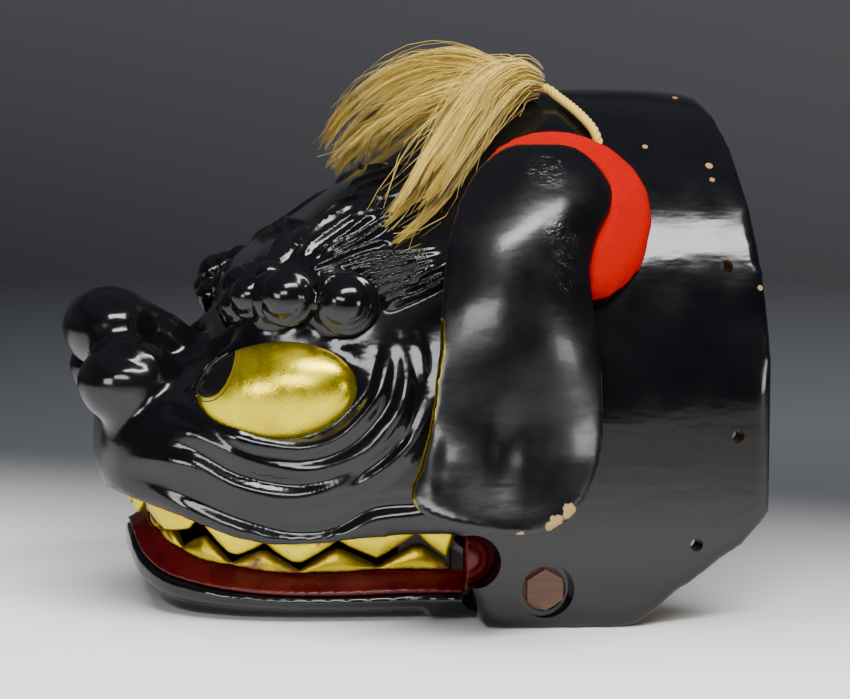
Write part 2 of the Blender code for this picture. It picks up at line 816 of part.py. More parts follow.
def build_tufts(head, skull):
    for word, locks, side in (("left", LEFT_LOCKS, 1), ("right", RIGHT_LOCKS, -1)):
        tuft = tube(f"tuft_{word}", smooth_path(locks[0], 2), HEMP)
        for k, lock in enumerate(locks[1:]):
            extra = tube(f"lock_{word}_{k}", smooth_path(lock, 2), HEMP, True)
            combine(tuft, extra, "UNION")
        route = [(x, -side * y, z, CORD_RADIUS) for x, y, z in CORD_ROUTE]
        wide = [(x, y, z, r + GAP) for x, y, z, r in route]
        tube(f"tuft_cord_{word}", route, HEMP)
        hole = tube(f"cord_hole_{word}", wide[-4:], HEMP, True)
        combine(head, hole, "DIFFERENCE")
        clear = tube(f"cord_clearance_{word}", wide[:4], HEMP, True)
        combine(tuft, clear, "DIFFERENCE")
        combine(tuft, skull, "DIFFERENCE")


def build():
    path = mouth_path()
    head = build_head()
    build_eyes(head)
    build_mouth(head, path)
    lower_gum = band("lower_gum", path, lower_gum_corners, RED)
    lower_teeth = tooth_row("lower_teeth", path, LOWER_TEETH, lower_tooth_corners, GOLD)
    for piece in (build_jaw(path), lower_gum, lower_teeth):
        set_origin(piece, (HINGE[0], 0.0, HINGE[1]))
    build_axle(head)
    skull = head_body("skull_clearance", BLACK, GAP, True)
    build_ears(head, skull)
    build_rim_holes(head)
    build_tufts(head, skull)


build()
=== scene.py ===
from collections import namedtuple
import json
import math
import random

import bmesh
import bpy
from mathutils import Matrix, Vector
from mathutils.bvhtree import BVHTree
from mathutils.kdtree import KDTree

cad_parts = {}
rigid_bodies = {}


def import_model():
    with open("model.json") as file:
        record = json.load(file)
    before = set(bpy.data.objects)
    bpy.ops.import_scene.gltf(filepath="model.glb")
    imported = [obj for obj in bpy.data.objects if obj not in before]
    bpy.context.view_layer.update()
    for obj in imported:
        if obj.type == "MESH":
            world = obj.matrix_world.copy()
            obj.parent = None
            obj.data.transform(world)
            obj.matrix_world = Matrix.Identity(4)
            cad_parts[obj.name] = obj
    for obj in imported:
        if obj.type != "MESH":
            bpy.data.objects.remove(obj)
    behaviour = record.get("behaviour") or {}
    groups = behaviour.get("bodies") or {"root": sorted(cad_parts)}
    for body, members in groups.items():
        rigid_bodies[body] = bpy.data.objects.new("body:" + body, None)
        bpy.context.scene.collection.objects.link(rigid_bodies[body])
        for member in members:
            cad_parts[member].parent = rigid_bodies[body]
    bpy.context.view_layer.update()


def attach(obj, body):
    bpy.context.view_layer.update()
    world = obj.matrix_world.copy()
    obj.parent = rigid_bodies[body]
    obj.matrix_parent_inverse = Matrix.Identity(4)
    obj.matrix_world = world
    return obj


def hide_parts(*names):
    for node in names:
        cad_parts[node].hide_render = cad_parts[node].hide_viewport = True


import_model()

# Lion dance head in black lacquer. It faces -X, and its left side is at -Y.
# Lengths are in millimetres, and mm turns them into metres.
mm = 0.001


def linearColour(hexText):
    parts = [int(hexText[i:i + 2], 16) / 255 for i in (1, 3, 5)]
    return (*[c / 12.92 if c <= 0.04045 else ((c + 0.055) / 1.055) ** 2.4 for c in parts], 1.0)


def setSockets(node, values):
    # values go to attributes or inputs; a socket is linked, and hex text is a colour
    for name, value in values.items():
        if isinstance(value, bpy.types.NodeSocket):
            node.id_data.links.new(value, node.inputs[name])
        elif isinstance(name, str) and hasattr(node, name) and name not in node.inputs:
            setattr(node, name, value)
        else:
            isHex = isinstance(value, str)
            node.inputs[name].default_value = linearColour(value) if isHex else value


def addNode(tree, kind, values=None, output=0):
    node = tree.nodes.new(kind)
    setSockets(node, values or {})
    return node.outputs[output]


def newMaterial(name):
    material = bpy.data.materials.new(name)
    material.use_nodes = True
    tree = material.node_tree
    return material, tree, tree.nodes["Principled BSDF"]


def layOver(tree, name, mask, value):
    # puts a value over what the shader has, where the mask is 1
    shader = tree.nodes["Principled BSDF"]
    old = shader.inputs[name].links[0].from_socket
    kind, a, b, output = ("RGBA", 6, 7, 2) if name == "Base Color" else ("FLOAT", 2, 3, 0)
    mixed = addNode(tree, "ShaderNodeMix", {"data_type": kind, 0: mask, a: old, b: value}, output)
    tree.links.new(mixed, shader.inputs[name])


def smoothStep(a, b, x):
    t = min(max((x - a) / (b - a), 0.0), 1.0)
    return t * t * (3 - 2 * t)


def curveThrough(points, perSpan):
    # smooth curve through rows of any length
    rows = [Vector(p) for p in points]
    result = []
    for i in range(len(rows) - 1):
        a = rows[max(i - 1, 0)]
        b = rows[i]
        c = rows[i + 1]
        d = rows[min(i + 2, len(rows) - 1)]
        for k in range(perSpan):
            t = k / perSpan
            result.append(0.5 * (2 * b + (c - a) * t + (2 * a - 5 * b + 4 * c - d) * t * t
                                 + (3 * b - a - 3 * c + d) * t ** 3))
    result.append(rows[-1])
    return result


def tableValue(table, x, column):
    # value between the rows of a table, without overshoot
    rows = [(row[0], row[column]) for row in table]
    if x <= rows[0][0]:
        return rows[0][1]
    slopes = [(b[1] - a[1]) / (b[0] - a[0]) for a, b in zip(rows, rows[1:])]
    for i, (a, b) in enumerate(zip(rows, rows[1:])):
        if x <= b[0]:
            step = b[0] - a[0]
            left = evenSlope(slopes[i - 1], slopes[i]) if i else slopes[i]
            right = evenSlope(slopes[i], slopes[i + 1]) if i + 1 < len(slopes) else slopes[i]
            t = (x - a[0]) / step
            return ((2 * t ** 3 - 3 * t * t + 1) * a[1] + (t ** 3 - 2 * t * t + t) * left * step
                    + (3 * t * t - 2 * t ** 3) * b[1] + (t ** 3 - t * t) * right * step)
    return rows[-1][1]


def evenSlope(first, second):
    return 0.0 if first * second <= 0 else 2 * first * second / (first + second)


def joinInto(bm, part):
    mesh = bpy.data.meshes.new("part")
    part.to_mesh(mesh)
    part.free()
    bm.from_mesh(mesh)
    bpy.data.meshes.remove(mesh)


def wrapGrid(columns, rows, place, fill=True):
    # a grid laid over a form: place gives the point at u around and v along
    bm = bmesh.new()
    bmesh.ops.create_grid(bm, x_segments=columns, y_segments=rows, size=1.0)
    for vert in bm.verts:
        vert.co = Vector(place((vert.co.x + 1) / 2, (vert.co.y + 1) / 2)) * mm
    bmesh.ops.remove_doubles(bm, verts=bm.verts, dist=1e-6)
    if fill:
        bmesh.ops.holes_fill(bm, edges=[e for e in bm.edges if e.is_boundary], sides=0)
    bmesh.ops.recalc_face_normals(bm, faces=bm.faces)
    return bm


def framesAlong(path):
    # two directions across a path at each of its points, which don't twist
    last = len(path) - 1
    frames = []
    normal = None
    for i in range(last + 1):
        run = Vector((path[min(i + 1, last)] - path[max(i - 1, 0)])[:3]).normalized()
        if normal is None:
            normal = run.orthogonal().normalized()
        normal = (normal - run * normal.dot(run)).normalized()
        frames.append((normal, run.cross(normal)))
    return frames


def tubeAlong(path, radii, sides=16):
    path = [Vector(p) for p in path]
    last = len(path) - 1
    frames = framesAlong(path)

    def place(u, v):
        i = round(v * last)
        angle = u * 2 * math.pi
        side, up = frames[i]
        return path[i] + (side * math.cos(angle) + up * math.sin(angle)) * radii[i]

    return wrapGrid(sides, last, place)


def barBetween(start, end, radius, sides=40):
    return tubeAlong([start, end], [radius, radius], sides)


def addBall(bm, centre, radii, segments=48):
    part = bmesh.new()
    bmesh.ops.create_uvsphere(part, u_segments=segments, v_segments=segments // 2, radius=1.0)
    size = Matrix.Diagonal((*[r * mm for r in radii], 1.0))
    place = Matrix.Translation(Vector(centre) * mm) @ size
    bmesh.ops.transform(part, matrix=place, verts=part.verts)
    joinInto(bm, part)


def addObject(name, data):
    piece = bpy.data.objects.new(name, data)
    bpy.context.scene.collection.objects.link(piece)
    return piece


def makeObject(name, bm, material=None, smooth=True):
    mesh = bpy.data.meshes.new(name)
    bm.to_mesh(mesh)
    bm.free()
    if smooth:
        mesh.shade_smooth()
    if material:
        mesh.materials.append(material)
    return addObject(name, mesh)


def meshOf(piece):
    bm = bmesh.new()
    bm.from_mesh(piece.data)
    return bm


def keepMesh(bm, piece):
    bm.to_mesh(piece.data)
    bm.free()


def giveMaterials(piece, *materials):
    piece.data.materials.clear()
    for material in materials:
        piece.data.materials.append(material)
    piece.data.shade_smooth()


def storeValues(piece, name, values, kind="FLOAT"):
    store = piece.data.attributes.new(name, kind, "POINT")
    store.data.foreach_set("value" if kind == "FLOAT" else "vector", values)


def finishPiece(piece, body, replaced=()):
    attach(piece, body)
    if replaced:
        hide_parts(*replaced)
    return piece


def bake(piece, kind, **settings):
    # adds a modifier and keeps its result as the mesh
    step = piece.modifiers.new(kind.lower(), kind)
    for name, value in settings.items():
        setattr(step, name, value)
    seen = piece.evaluated_get(bpy.context.evaluated_depsgraph_get())
    mesh = bpy.data.meshes.new_from_object(seen)
    old = piece.data
    piece.modifiers.clear()
    piece.data = mesh
    bpy.data.meshes.remove(old)
    return piece


def cutWith(piece, cutter):
    bake(piece, "BOOLEAN", operation="DIFFERENCE", solver="MANIFOLD", object=cutter)
    bpy.data.objects.remove(cutter, do_unlink=True)


def smoothVerts(bm, times):
    for k in range(times):
        bmesh.ops.smooth_vert(bm, verts=bm.verts, factor=0.5, use_axis_x=True, use_axis_y=True,
                              use_axis_z=True)


def remeshed(piece, voxel, times, change=None):
    # even mesh with softened edges; change moves its points further
    bake(piece, "REMESH", mode="VOXEL", voxel_size=voxel)
    bm = meshOf(piece)
    smoothVerts(bm, times)
    if change:
        change(bm)
    keepMesh(bm, piece)


# Camera at the photograph's angle
view = {"place": (-0.2428, -1.2646, 0.2773), "target": (0.026, 0.0, 0.1414), "lens": 91.76}


def aimAt(thing, place, target):
    thing.location = place
    look = Vector(target) - Vector(place)
    thing.rotation_euler = look.to_track_quat("-Z", "Y").to_euler()


def makeCamera():
    data = bpy.data.cameras.new("camera")
    data.lens = view["lens"]
    data.sensor_width = 36.0
    data.clip_start = 0.05
    camera = addObject("camera", data)
    aimAt(camera, view["place"], view["target"])
    bpy.context.scene.camera = camera


# Pale studio floor with painted falloff of light that darkens it outwards; it rises into a dark
# grey surround
stage = {
    "flat": 2.6, "rise": 1.2, "height": 3.2, "lean": 0.6,
    "pale": "#fafaf8", "grey": "#b2b2b0", "nearPaintedShade": (-0.32, -0.6),
    "frontEdge": (-1.1, -1.03), "backFade": (-0.26, 0.5), "sideEdge": (1.0, 1.5),
    "low": "#4a4c50", "back": "#8a8c90", "front": "#0a0b0c", "sideWall": "#8e9092",
}
lights = [
    # name, place, target, width, height, power, whether gloss shows it
    ("topSoftbox", (0.25, -0.92, 1.4), (0.0, 0.0, 0.15), 1.3, 0.32, 34, True),
    ("frontSoftbox", (-0.48, -1.2, 0.58), (-0.05, 0.0, 0.12), 0.56, 0.26, 6.5, True),
    ("sideSoftbox", (1.05, -1.1, 0.2), (0.0, 0.0, 0.1), 0.3, 0.26, 3, True),
    ("windowSoftbox", (-1.25, -1.2, 0.32), (-0.1, 0.0, 0.12), 0.46, 0.34, 6, True),
    ("roomFill", (-0.2, 0.1, 2.3), (0.0, 0.1, 0.0), 2.0, 2.0, 60, False),
]


def makeStage():
    bm = bmesh.new()
    flat, rise = stage["flat"], stage["rise"]
    path = [(0.0, 0.0), (0.6, 0.0), (1.4, 0.0), (flat, 0.0)]
    for k in range(1, 9):
        angle = k / 8 * math.pi / 2
        path.append((flat + rise * math.sin(angle), rise * (1 - math.cos(angle))))
    path.append((flat + rise, stage["height"]))
    verts = [bm.verts.new((r, 0, z)) for r, z in path]
    edges = [bm.edges.new(pair) for pair in zip(verts, verts[1:])]
    bmesh.ops.spin(bm, geom=verts + edges, cent=(0, 0, 0), axis=(0, 0, 1), angle=2 * math.pi,
                   steps=64, use_merge=True)
    bmesh.ops.remove_doubles(bm, verts=bm.verts, dist=1e-4)
    bmesh.ops.recalc_face_normals(bm, faces=bm.faces)
    bmesh.ops.reverse_faces(bm, faces=bm.faces)
    material, tree, shader = newMaterial("paleStudioPaper")
    place = addNode(tree, "ShaderNodeTexCoord", output="Object")
    x, y, z = addNode(tree, "ShaderNodeSeparateXYZ", {"Vector": place}).node.outputs
    aside = addNode(tree, "ShaderNodeMath", {"operation": "ABSOLUTE", 0: x})
    leaning = addNode(tree, "ShaderNodeMath", {
        "operation": "MULTIPLY_ADD", 0: x, 1: stage["lean"], 2: y})
    # painted falloff of light: the paper fades into the room's colour in front, behind and to the
    # sides
    edge = 0.0
    for source, name, low, high in ((y, "frontEdge", 1.0, 0.0), (leaning, "backFade", 0.0, 1.0),
                                    (aside, "sideEdge", 0.0, 1.0)):
        mask = addNode(tree, "ShaderNodeMapRange", {
            "interpolation_type": "SMOOTHSTEP", "Value": source, "From Min": stage[name][0],
            "From Max": stage[name][1], "To Min": low, "To Max": high}, "Result")
        edge = addNode(tree, "ShaderNodeMath", {"operation": "MAXIMUM", 0: edge, 1: mask})
    # painted light and shade: the room is grey behind the object, lighter higher up and to the
    # right, and near-black shade in front of it
    high = addNode(tree, "ShaderNodeMapRange", {"Value": z, "From Max": 1.1}, "Result")
    right = addNode(tree, "ShaderNodeMapRange", {
        "Value": x, "From Min": -0.2, "From Max": 2.4, "To Max": 0.5}, "Result")
    depth = addNode(tree, "ShaderNodeMapRange", {
        "Value": y, "From Min": -0.6, "From Max": 0.6}, "Result")
    wall = addNode(tree, "ShaderNodeMix", {
        "data_type": "RGBA", 0: high, 6: stage["low"], 7: stage["back"]}, 2)
    wall = addNode(tree, "ShaderNodeMix", {
        "data_type": "RGBA", 0: right, 6: wall, 7: stage["sideWall"]}, 2)
    room = addNode(tree, "ShaderNodeMix", {
        "data_type": "RGBA", 0: depth, 6: stage["front"], 7: wall}, 2)
    # painted falloff of light: the paper is greyer towards its front edge
    near = addNode(tree, "ShaderNodeMapRange", {
        "Value": y, "From Min": stage["nearPaintedShade"][0], "From Max": stage["nearPaintedShade"][1]}, "Result")
    paper = addNode(tree, "ShaderNodeMix", {
        "data_type": "RGBA", 0: near, 6: stage["pale"], 7: stage["grey"]}, 2)
    colour = addNode(tree, "ShaderNodeMix", {"data_type": "RGBA", 0: edge, 6: paper, 7: room}, 2)
    setSockets(shader, {"Base Color": colour, "Roughness": 0.75, "Specular IOR Level": 0.25})
    makeObject("studioFloor", bm, material)


def makeLights():
    for name, place, target, width, height, power, glossy in lights:
        data = bpy.data.lights.new(name, "AREA")
        data.shape = "RECTANGLE"
        data.size = width
        data.size_y = height
        data.energy = power
        lamp = addObject(name, data)
        aimAt(lamp, place, target)
        lamp.visible_camera = False
        lamp.visible_glossy = glossy
    world = bpy.data.worlds.new("studio")
    bpy.context.scene.world = world
    world.use_nodes = True
    setSockets(world.node_tree.nodes["Background"], {"Color": "#b8bcc4", "Strength": 0.16})


print("stage: camera, floor and lights")
makeCamera()
makeStage()
makeLights()


# Black urushi lacquer on wood, hand brushed: deep gloss, faint waviness, rubbed and chipped edges
def blackLacquer(name="blackLacquer", gloss=(0.1, 0.2)):
    material, tree, shader = newMaterial(name)
    place = addNode(tree, "ShaderNodeTexCoord", output="Object")
    edge = addNode(tree, "ShaderNodeAttribute", {"attribute_name": "edge"}, "Fac")
    cloud = addNode(tree, "ShaderNodeTexNoise", {"Vector": place, "Scale": 38.0, "Detail": 4.0})
    speck = addNode(tree, "ShaderNodeTexNoise", {"Vector": place, "Scale": 420.0, "Detail": 3.0})
    # chips of 1-3 mm show brown ground where an edge is sharp
    lift = addNode(tree, "ShaderNodeMath", {
        "operation": "MULTIPLY_ADD", 0: speck, 1: 0.9, 2: -0.56})
    chip = addNode(tree, "ShaderNodeMath", {
        "operation": "MULTIPLY_ADD", 0: edge, 1: cloud, 2: lift})
    mask = addNode(tree, "ShaderNodeMapRange", {
        "Value": chip, "From Min": 0.36, "From Max": 0.42}, "Result")
    tone = addNode(tree, "ShaderNodeMix", {
        "data_type": "RGBA", 0: cloud, 6: "#060608", 7: "#101013"}, 2)
    colour = addNode(tree, "ShaderNodeMix", {
        "data_type": "RGBA", 0: mask, 6: tone, 7: "#5a3424"}, 2)
    shine = addNode(tree, "ShaderNodeMapRange", {
        "Value": cloud, "From Min": 0.35, "From Max": 0.7, "To Min": gloss[0],
        "To Max": gloss[1]}, "Result")
    dull = addNode(tree, "ShaderNodeMix", {"data_type": "FLOAT", 0: mask, 2: shine, 3: 0.6})
    # waves of the brush 8 mm apart, drawn out along X, and a fine orange peel
    drawn = addNode(tree, "ShaderNodeMapping", {"Vector": place, "Scale": (0.3, 1.0, 1.0)})
    wave = addNode(tree, "ShaderNodeTexNoise", {"Vector": drawn, "Scale": 120.0, "Detail": 2.0})
    height = addNode(tree, "ShaderNodeMath", {
        "operation": "MULTIPLY_ADD", 0: speck, 1: 0.12, 2: wave})
    bump = addNode(tree, "ShaderNodeBump", {
        "Height": height, "Strength": 0.16, "Distance": 0.0012})
    setSockets(shader, {"Base Color": colour, "Roughness": dull, "Normal": bump, "IOR": 1.45,
                        "Coat Weight": 0.12, "Coat Roughness": 0.07})
    return material


# Vermilion urushi inside the lips, brushed and rubbed darker in the hollows of 17 mm clouds
def redLacquer():
    material, tree, shader = newMaterial("redLacquer")
    place = addNode(tree, "ShaderNodeTexCoord", output="Object")
    cloud = addNode(tree, "ShaderNodeTexNoise", {"Vector": place, "Scale": 60.0, "Detail": 5.0})
    tone = addNode(tree, "ShaderNodeMix", {
        "data_type": "RGBA", 0: cloud, 6: "#1e0102", 7: "#620207"}, 2)
    gloss = addNode(tree, "ShaderNodeMapRange", {
        "Value": cloud, "From Min": 0.3, "From Max": 0.7, "To Min": 0.2, "To Max": 0.38}, "Result")
    bump = addNode(tree, "ShaderNodeBump", {"Height": cloud, "Strength": 0.2, "Distance": 0.0006})
    setSockets(shader, {"Base Color": tone, "Roughness": gloss, "Normal": bump,
                        "Specular IOR Level": 0.35})
    return material


# Gold leaf laid over lacquer: metal skin, burnished unevenly in patches of 18 mm with a grain
# of 1.4 mm, brown showing through rubbed places
def goldNodes(tree, place, low="#a88408", high="#fff02c"):
    patch = addNode(tree, "ShaderNodeTexNoise", {
        "Vector": place, "Scale": 55.0, "Detail": 6.0, "Roughness": 0.62})
    grain = addNode(tree, "ShaderNodeTexNoise", {"Vector": place, "Scale": 700.0, "Detail": 2.0})
    tone = addNode(tree, "ShaderNodeMix", {"data_type": "RGBA", 0: patch, 6: low, 7: high}, 2)
    return patch, grain, tone


def goldLeaf(name="goldLeaf", low="#a88408", high="#fff02c", rubbed=0.68):
    material, tree, shader = newMaterial(name)
    place = addNode(tree, "ShaderNodeTexCoord", output="Object")
    edge = addNode(tree, "ShaderNodeAttribute", {"attribute_name": "edge"}, "Fac")
    patch, grain, tone = goldNodes(tree, place, low, high)
    rub = addNode(tree, "ShaderNodeMath", {
        "operation": "MULTIPLY_ADD", 0: edge, 1: 0.35, 2: patch})
    worn = addNode(tree, "ShaderNodeMapRange", {
        "Value": rub, "From Min": rubbed, "From Max": rubbed + 0.08}, "Result")
    colour = addNode(tree, "ShaderNodeMix", {
        "data_type": "RGBA", 0: worn, 6: tone, 7: "#6a3416"}, 2)
    metal = addNode(tree, "ShaderNodeMapRange", {
        "Value": worn, "To Min": 0.92, "To Max": 0.1}, "Result")
    gloss = addNode(tree, "ShaderNodeMapRange", {
        "Value": patch, "From Min": 0.3, "From Max": 0.7, "To Min": 0.26, "To Max": 0.42}, "Result")
    height = addNode(tree, "ShaderNodeMath", {
        "operation": "MULTIPLY_ADD", 0: grain, 1: 0.25, 2: patch})
    bump = addNode(tree, "ShaderNodeBump", {"Height": height, "Strength": 0.35, "Distance": 0.001})
    setSockets(shader, {"Base Color": colour, "Metallic": metal, "Roughness": gloss,
                        "Normal": bump})
    return material


# Carved inside of the head and the axle: sanded light wood darkened by age, grain of 4 mm by
# 50 mm along X
def agedWood(name, light, dark, gloss):
    material, tree, shader = newMaterial(name)
    place = addNode(tree, "ShaderNodeTexCoord", output="Object")
    along = addNode(tree, "ShaderNodeMapping", {"Vector": place, "Scale": (12.0, 160.0, 160.0)})
    grain = addNode(tree, "ShaderNodeTexNoise", {
        "Vector": along, "Scale": 1.6, "Detail": 6.0, "Distortion": 0.6})
    tone = addNode(tree, "ShaderNodeMix", {"data_type": "RGBA", 0: grain, 6: dark, 7: light}, 2)
    bump = addNode(tree, "ShaderNodeBump", {"Height": grain, "Strength": 0.4, "Distance": 0.0006})
    setSockets(shader, {"Base Color": tone, "Roughness": gloss, "Normal": bump})
    return material


black = blackLacquer()
red = redLacquer()
gold = goldLeaf()
# gold of the lower teeth: more rubbed leaf, and darker colours that are painted shade of the lower
# mouth
rubbedShadedGold = goldLeaf("goldLeafRubbedShaded", "#644c06", "#d8bc24", 0.62)
bareWood = agedWood("agedCypress", "#a87a48", "#6a4524", 0.7)
axleWood = agedWood("darkOakAxle", "#62402c", "#301b10", 0.45)
paleWood = agedWood("paleWoodPlug", "#b08c5c", "#7c5c38", 0.7)
# near-black brown for the boards behind the last teeth: painted shade of the inside of the mouth
shadeBrownWood = agedWood("smokedBrownWood", "#2a140c", "#100805", 0.6)


def markEdges(piece):
    # float attribute edge: how far a vertex stands out from its neighbours
    bm = meshOf(piece)
    bm.normal_update()
    value = [0.0] * len(bm.verts)
    for vert in bm.verts:
        total = 0.0
        for e in vert.link_edges:
            step = e.other_vert(vert).co - vert.co
            total -= step.dot(vert.normal) / max(step.length, 1e-9)
        value[vert.index] = min(max(total / max(len(vert.link_edges), 1) * 2.2, 0.0), 1.0)
    bm.free()
    storeValues(piece, "edge", value)


def softened(name, bm, voxel, times, finish):
    piece = makeObject(name, bm)
    remeshed(piece, voxel, times)
    giveMaterials(piece, finish)
    markEdges(piece)
    return piece


# Head: one carved wooden shell
head = {
    # x, top, half width at the bottom, greatest half width, its height, roundness
    "sections": [
        (-170, 106, 36, 40, 92, 2.4), (-166, 117, 49, 53, 95, 2.6), (-158, 126, 60, 65, 96, 2.8),
        (-146, 132, 70, 76, 96, 2.8), (-130, 138, 82, 87, 95, 2.6), (-114, 144, 90, 94, 92, 2.3),
        (-105, 147, 94, 98, 90, 2.2), (-100, 166, 96, 100, 92, 2.4),
        (-95, 184, 97, 101, 95, 2.8), (-86, 197, 99, 103, 95, 3.0),
        (-72, 208, 104, 106, 95, 3.0), (-55, 219, 109, 111, 95, 2.8),
        (-35, 234, 114, 118, 98, 2.4), (-5, 254, 120, 127, 105, 2.1),
        (35, 281, 130, 137, 112, 1.9), (70, 291, 136, 142, 116, 1.85),
        (109, 297, 142, 147, 120, 1.8), (150, 297, 146, 151, 124, 1.8),
        (189, 294, 149, 153, 126, 1.8)],
    "sideBottom": -12.0, "wall": 13.0,
    "underside": [
        (-200, 73), (-168, 72), (-152, 67.4), (-131, 61), (-101, 49.6), (-78, 45.2), (-43, 48.7),
        (-13, 51.8), (21, 53), (22, 34), (32, 0), (116, 0), (134, 16), (174, 45), (200, 72)],
    "hollowFrom": -143.0,
    "noseTip": ((-161.5, 0, 159), (27.5, 36, 25)),
    "noseWing": ((-153.5, 43, 131.5), (30, 26, 24.5)),
    "bridge": [(-160, 158, 24), (-140, 149, 23), (-118, 134, 22), (-98, 124, 24), (-78, 130, 26)],
    "brow": [(-44, -100, 179, 17), (-76, -87, 181, 17), (-80, -60, 181, 17), (-75, -24, 183, 17)],
    # crest of the flared nostril and the hollow below it, in pixels of the photograph
    "nostril": [(98, 347), (110, 344), (122, 343), (134, 346), (145, 352), (154, 361), (160, 372)],
    "nostrilHollow": [(112, 361), (124, 359), (136, 362), (145, 370)],
    "voxel": 0.003, "lidTube": 4.2, "redBefore": -118, "redAbove": 2.0,
    # radius of the axle's bore and of the worn ring round it, and where the ring starts
    "bore": 12.3, "wornBore": 15.6, "wornFrom": 133.5,
    "cornerNotch": (24.5, 38, 15.3),
    "rimHoles": [(168, 198), (169, 106), (147, 46)], "rimHole": 3.5,
    # half width and height of each cut: the nostril's crest and hollow, and a strand of hair
    "crestCut": (6.5, 2.0), "hollowCut": (10.0, -1.6), "hairCut": (3.7, 3.4),
}
hinge = (64.4, 22.0)
eye = {"centre": (-77, -95, 130), "radii": (46, 22, 28), "yaw": 25.0, "pitch": -7.0, "seat": 6.0}


def headPoint(x, share, grow=0.0, shapeX=None):
    # share runs from the left bottom edge (0) over the top (1) to the right bottom edge (2)
    shapeX = x if shapeX is None else shapeX
    sections = head["sections"]
    top, low, wide, zWide, roundness = [tableValue(sections, shapeX, c) for c in range(1, 6)]
    top, low, wide = top + grow, low + grow, wide + grow
    side = -1 if share < 1 else 1
    s = share if share < 1 else 2 - share
    bottom = head["sideBottom"]
    if s < 0.3:
        t = s / 0.3
        y = low + (wide - low) * math.sin(t * math.pi / 2)
        return Vector((x, side * y, bottom + (zWide - bottom) * t))
    angle = (s - 0.3) / 0.7 * math.pi / 2
    y = wide * max(math.cos(angle), 0.0) ** (2 / roundness)
    z = zWide + (top - zWide) * math.sin(angle) ** (2 / roundness)
    return Vector((x, side * y, z))


def headLoft(columns, rows, grow, first, last, shape=None, lower=0.0):
    def place(u, v):
        x = first + (last - first) * v
        arc = 0.93
        share = min(u / arc, 1.0) * 2
        shapeX = shape(x) if shape else x
        if u > arc:
            a, b = headPoint(x, 2, grow, shapeX), headPoint(x, 0, grow, shapeX)
            point = a.lerp(b, (u - arc) / (1 - arc))
        else:
            point = headPoint(x, share, grow, shapeX)
        if lower and point.z < head["sideBottom"] + 1:
            point.z -= lower
        return point

    return wrapGrid(columns, rows, place)


def extruded(outline, step):
    # closed slab from a flat outline
    bm = bmesh.new()
    face = bm.faces.new([bm.verts.new([c * mm for c in point]) for point in outline])
    out = bmesh.ops.extrude_face_region(bm, geom=[face])
    moved = [v for v in out["geom"] if isinstance(v, bmesh.types.BMVert)]
    bmesh.ops.translate(bm, vec=[c * mm for c in step], verts=moved)
    bmesh.ops.recalc_face_normals(bm, faces=bm.faces)
    return bm


def slabAcross(outline, low, high):
    return extruded([(x, low, z) for x, z in outline], (0, high - low, 0))


def sideSlab(outline, width, side):
    return slabAcross(outline, *sorted(-side * y for y in width))


def eyePlace(side):
    # side is 1 at -Y
    x, y, z = eye["centre"]
    yaw = Matrix.Rotation(math.radians(-eye["yaw"] * side), 4, "Z")
    pitch = Matrix.Rotation(math.radians(eye["pitch"]), 4, "Y")
    return Matrix.Translation(Vector((x, y * side, z)) * mm) @ yaw @ pitch


def eyeRing(side, count, growX, depth, growZ):
    # closed ring round the eye, on the face of the head
    place = eyePlace(side)
    ring = []
    for k in range(count + 1):
        a = k / count * 2 * math.pi
        p = Vector((math.cos(a) * eye["radii"][0] * growX, depth * side,
                    math.sin(a) * eye["radii"][2] * growZ))
        ring.append(place @ (p * mm) / mm)
    return ring


relief = {
    "lidRoll": [(-144, -70, 119), (-139, -72, 122), (-131, -74, 123), (-118, -84, 117),
                (-103, -96, 109), (-88, -102, 103), (-66, -107, 100), (-48, -113, 105),
                (-35, -117, 116), (-25, -119, 130), (-20, -118, 149), (-17, -114, 165)],
    "broadRoll": [(-140, -78, 108), (-124, -87, 109), (-109, -95, 102), (-93, -101, 94),
                  (-67, -108, 88), (-46, -114, 91), (-30, -119, 100), (-17, -123, 117),
                  (-10, -123, 136), (-6, -120, 155)],
    "lowRoll": [(-156, -67, 90), (-140, -79, 92), (-119, -92, 88), (-93, -101, 76),
                (-67, -107, 73), (-40, -116, 82), (-19, -122, 95)],
    "backRoll": [(-40, -116, 80), (-28, -119, 86), (-14, -123, 97), (-2, -126, 112),
                 (6, -128, 130), (8, -128, 150)],
    "wedge": [(-42, -116, 80), (-30, -119, 90), (-19, -123, 100), (-9, -125, 111)],
    "cheekOne": [(-15, -115, 165), (-11, -120, 149), (-11, -123, 127), (-17, -123, 111)],
    "cheekTwo": [(-7, -117, 165), (-2, -123, 149), (-1, -126, 127), (-8, -126, 106)],
    "lipGroove": [(-140, -80, 81), (-121, -91, 71), (-99, -100, 61.5), (-72, -106, 54),
                  (-50, -113, 56), (-29, -119, 68), (-5, -127, 71), (7, -129, 73), (25, -132, 74)],
    "lipBand": [(-160, -62, 80), (-140, -78, 72), (-121, -90, 62), (-99, -99, 53),
                (-72, -106, 47), (-48, -113, 50), (-28, -119, 60), (-5, -127, 63), (14, -130, 64)],
    "midGroove": [(-120, -91, 98), (-100, -98, 86), (-70, -107, 81), (-45, -115, 87),
                  (-28, -119, 97)],
    "temple": [(-19, -109, 176), (-11, -109, 182), (0, -107, 190), (13, -108, 199),
               (30, -110, 208)],
}
reliefCuts = [
    # line, half width, height, sharpness
    ("lidRoll", 8.0, 3.6, 1.0), ("broadRoll", 11.0, 3.6, 0.9), ("lowRoll", 11.0, 2.8, 0.9),
    ("backRoll", 8.0, 1.8, 1.0), ("wedge", 5.0, -1.6, 1.0), ("cheekOne", 7.0, 1.1, 1.0),
    ("cheekTwo", 7.0, 1.0, 1.0), ("lipGroove", 6.0, -1.8, 1.0), ("lipBand", 7.0, 1.3, 0.8),
    ("midGroove", 6.0, -1.5, 1.0), ("temple", 6.0, 1.8, 1.2)]
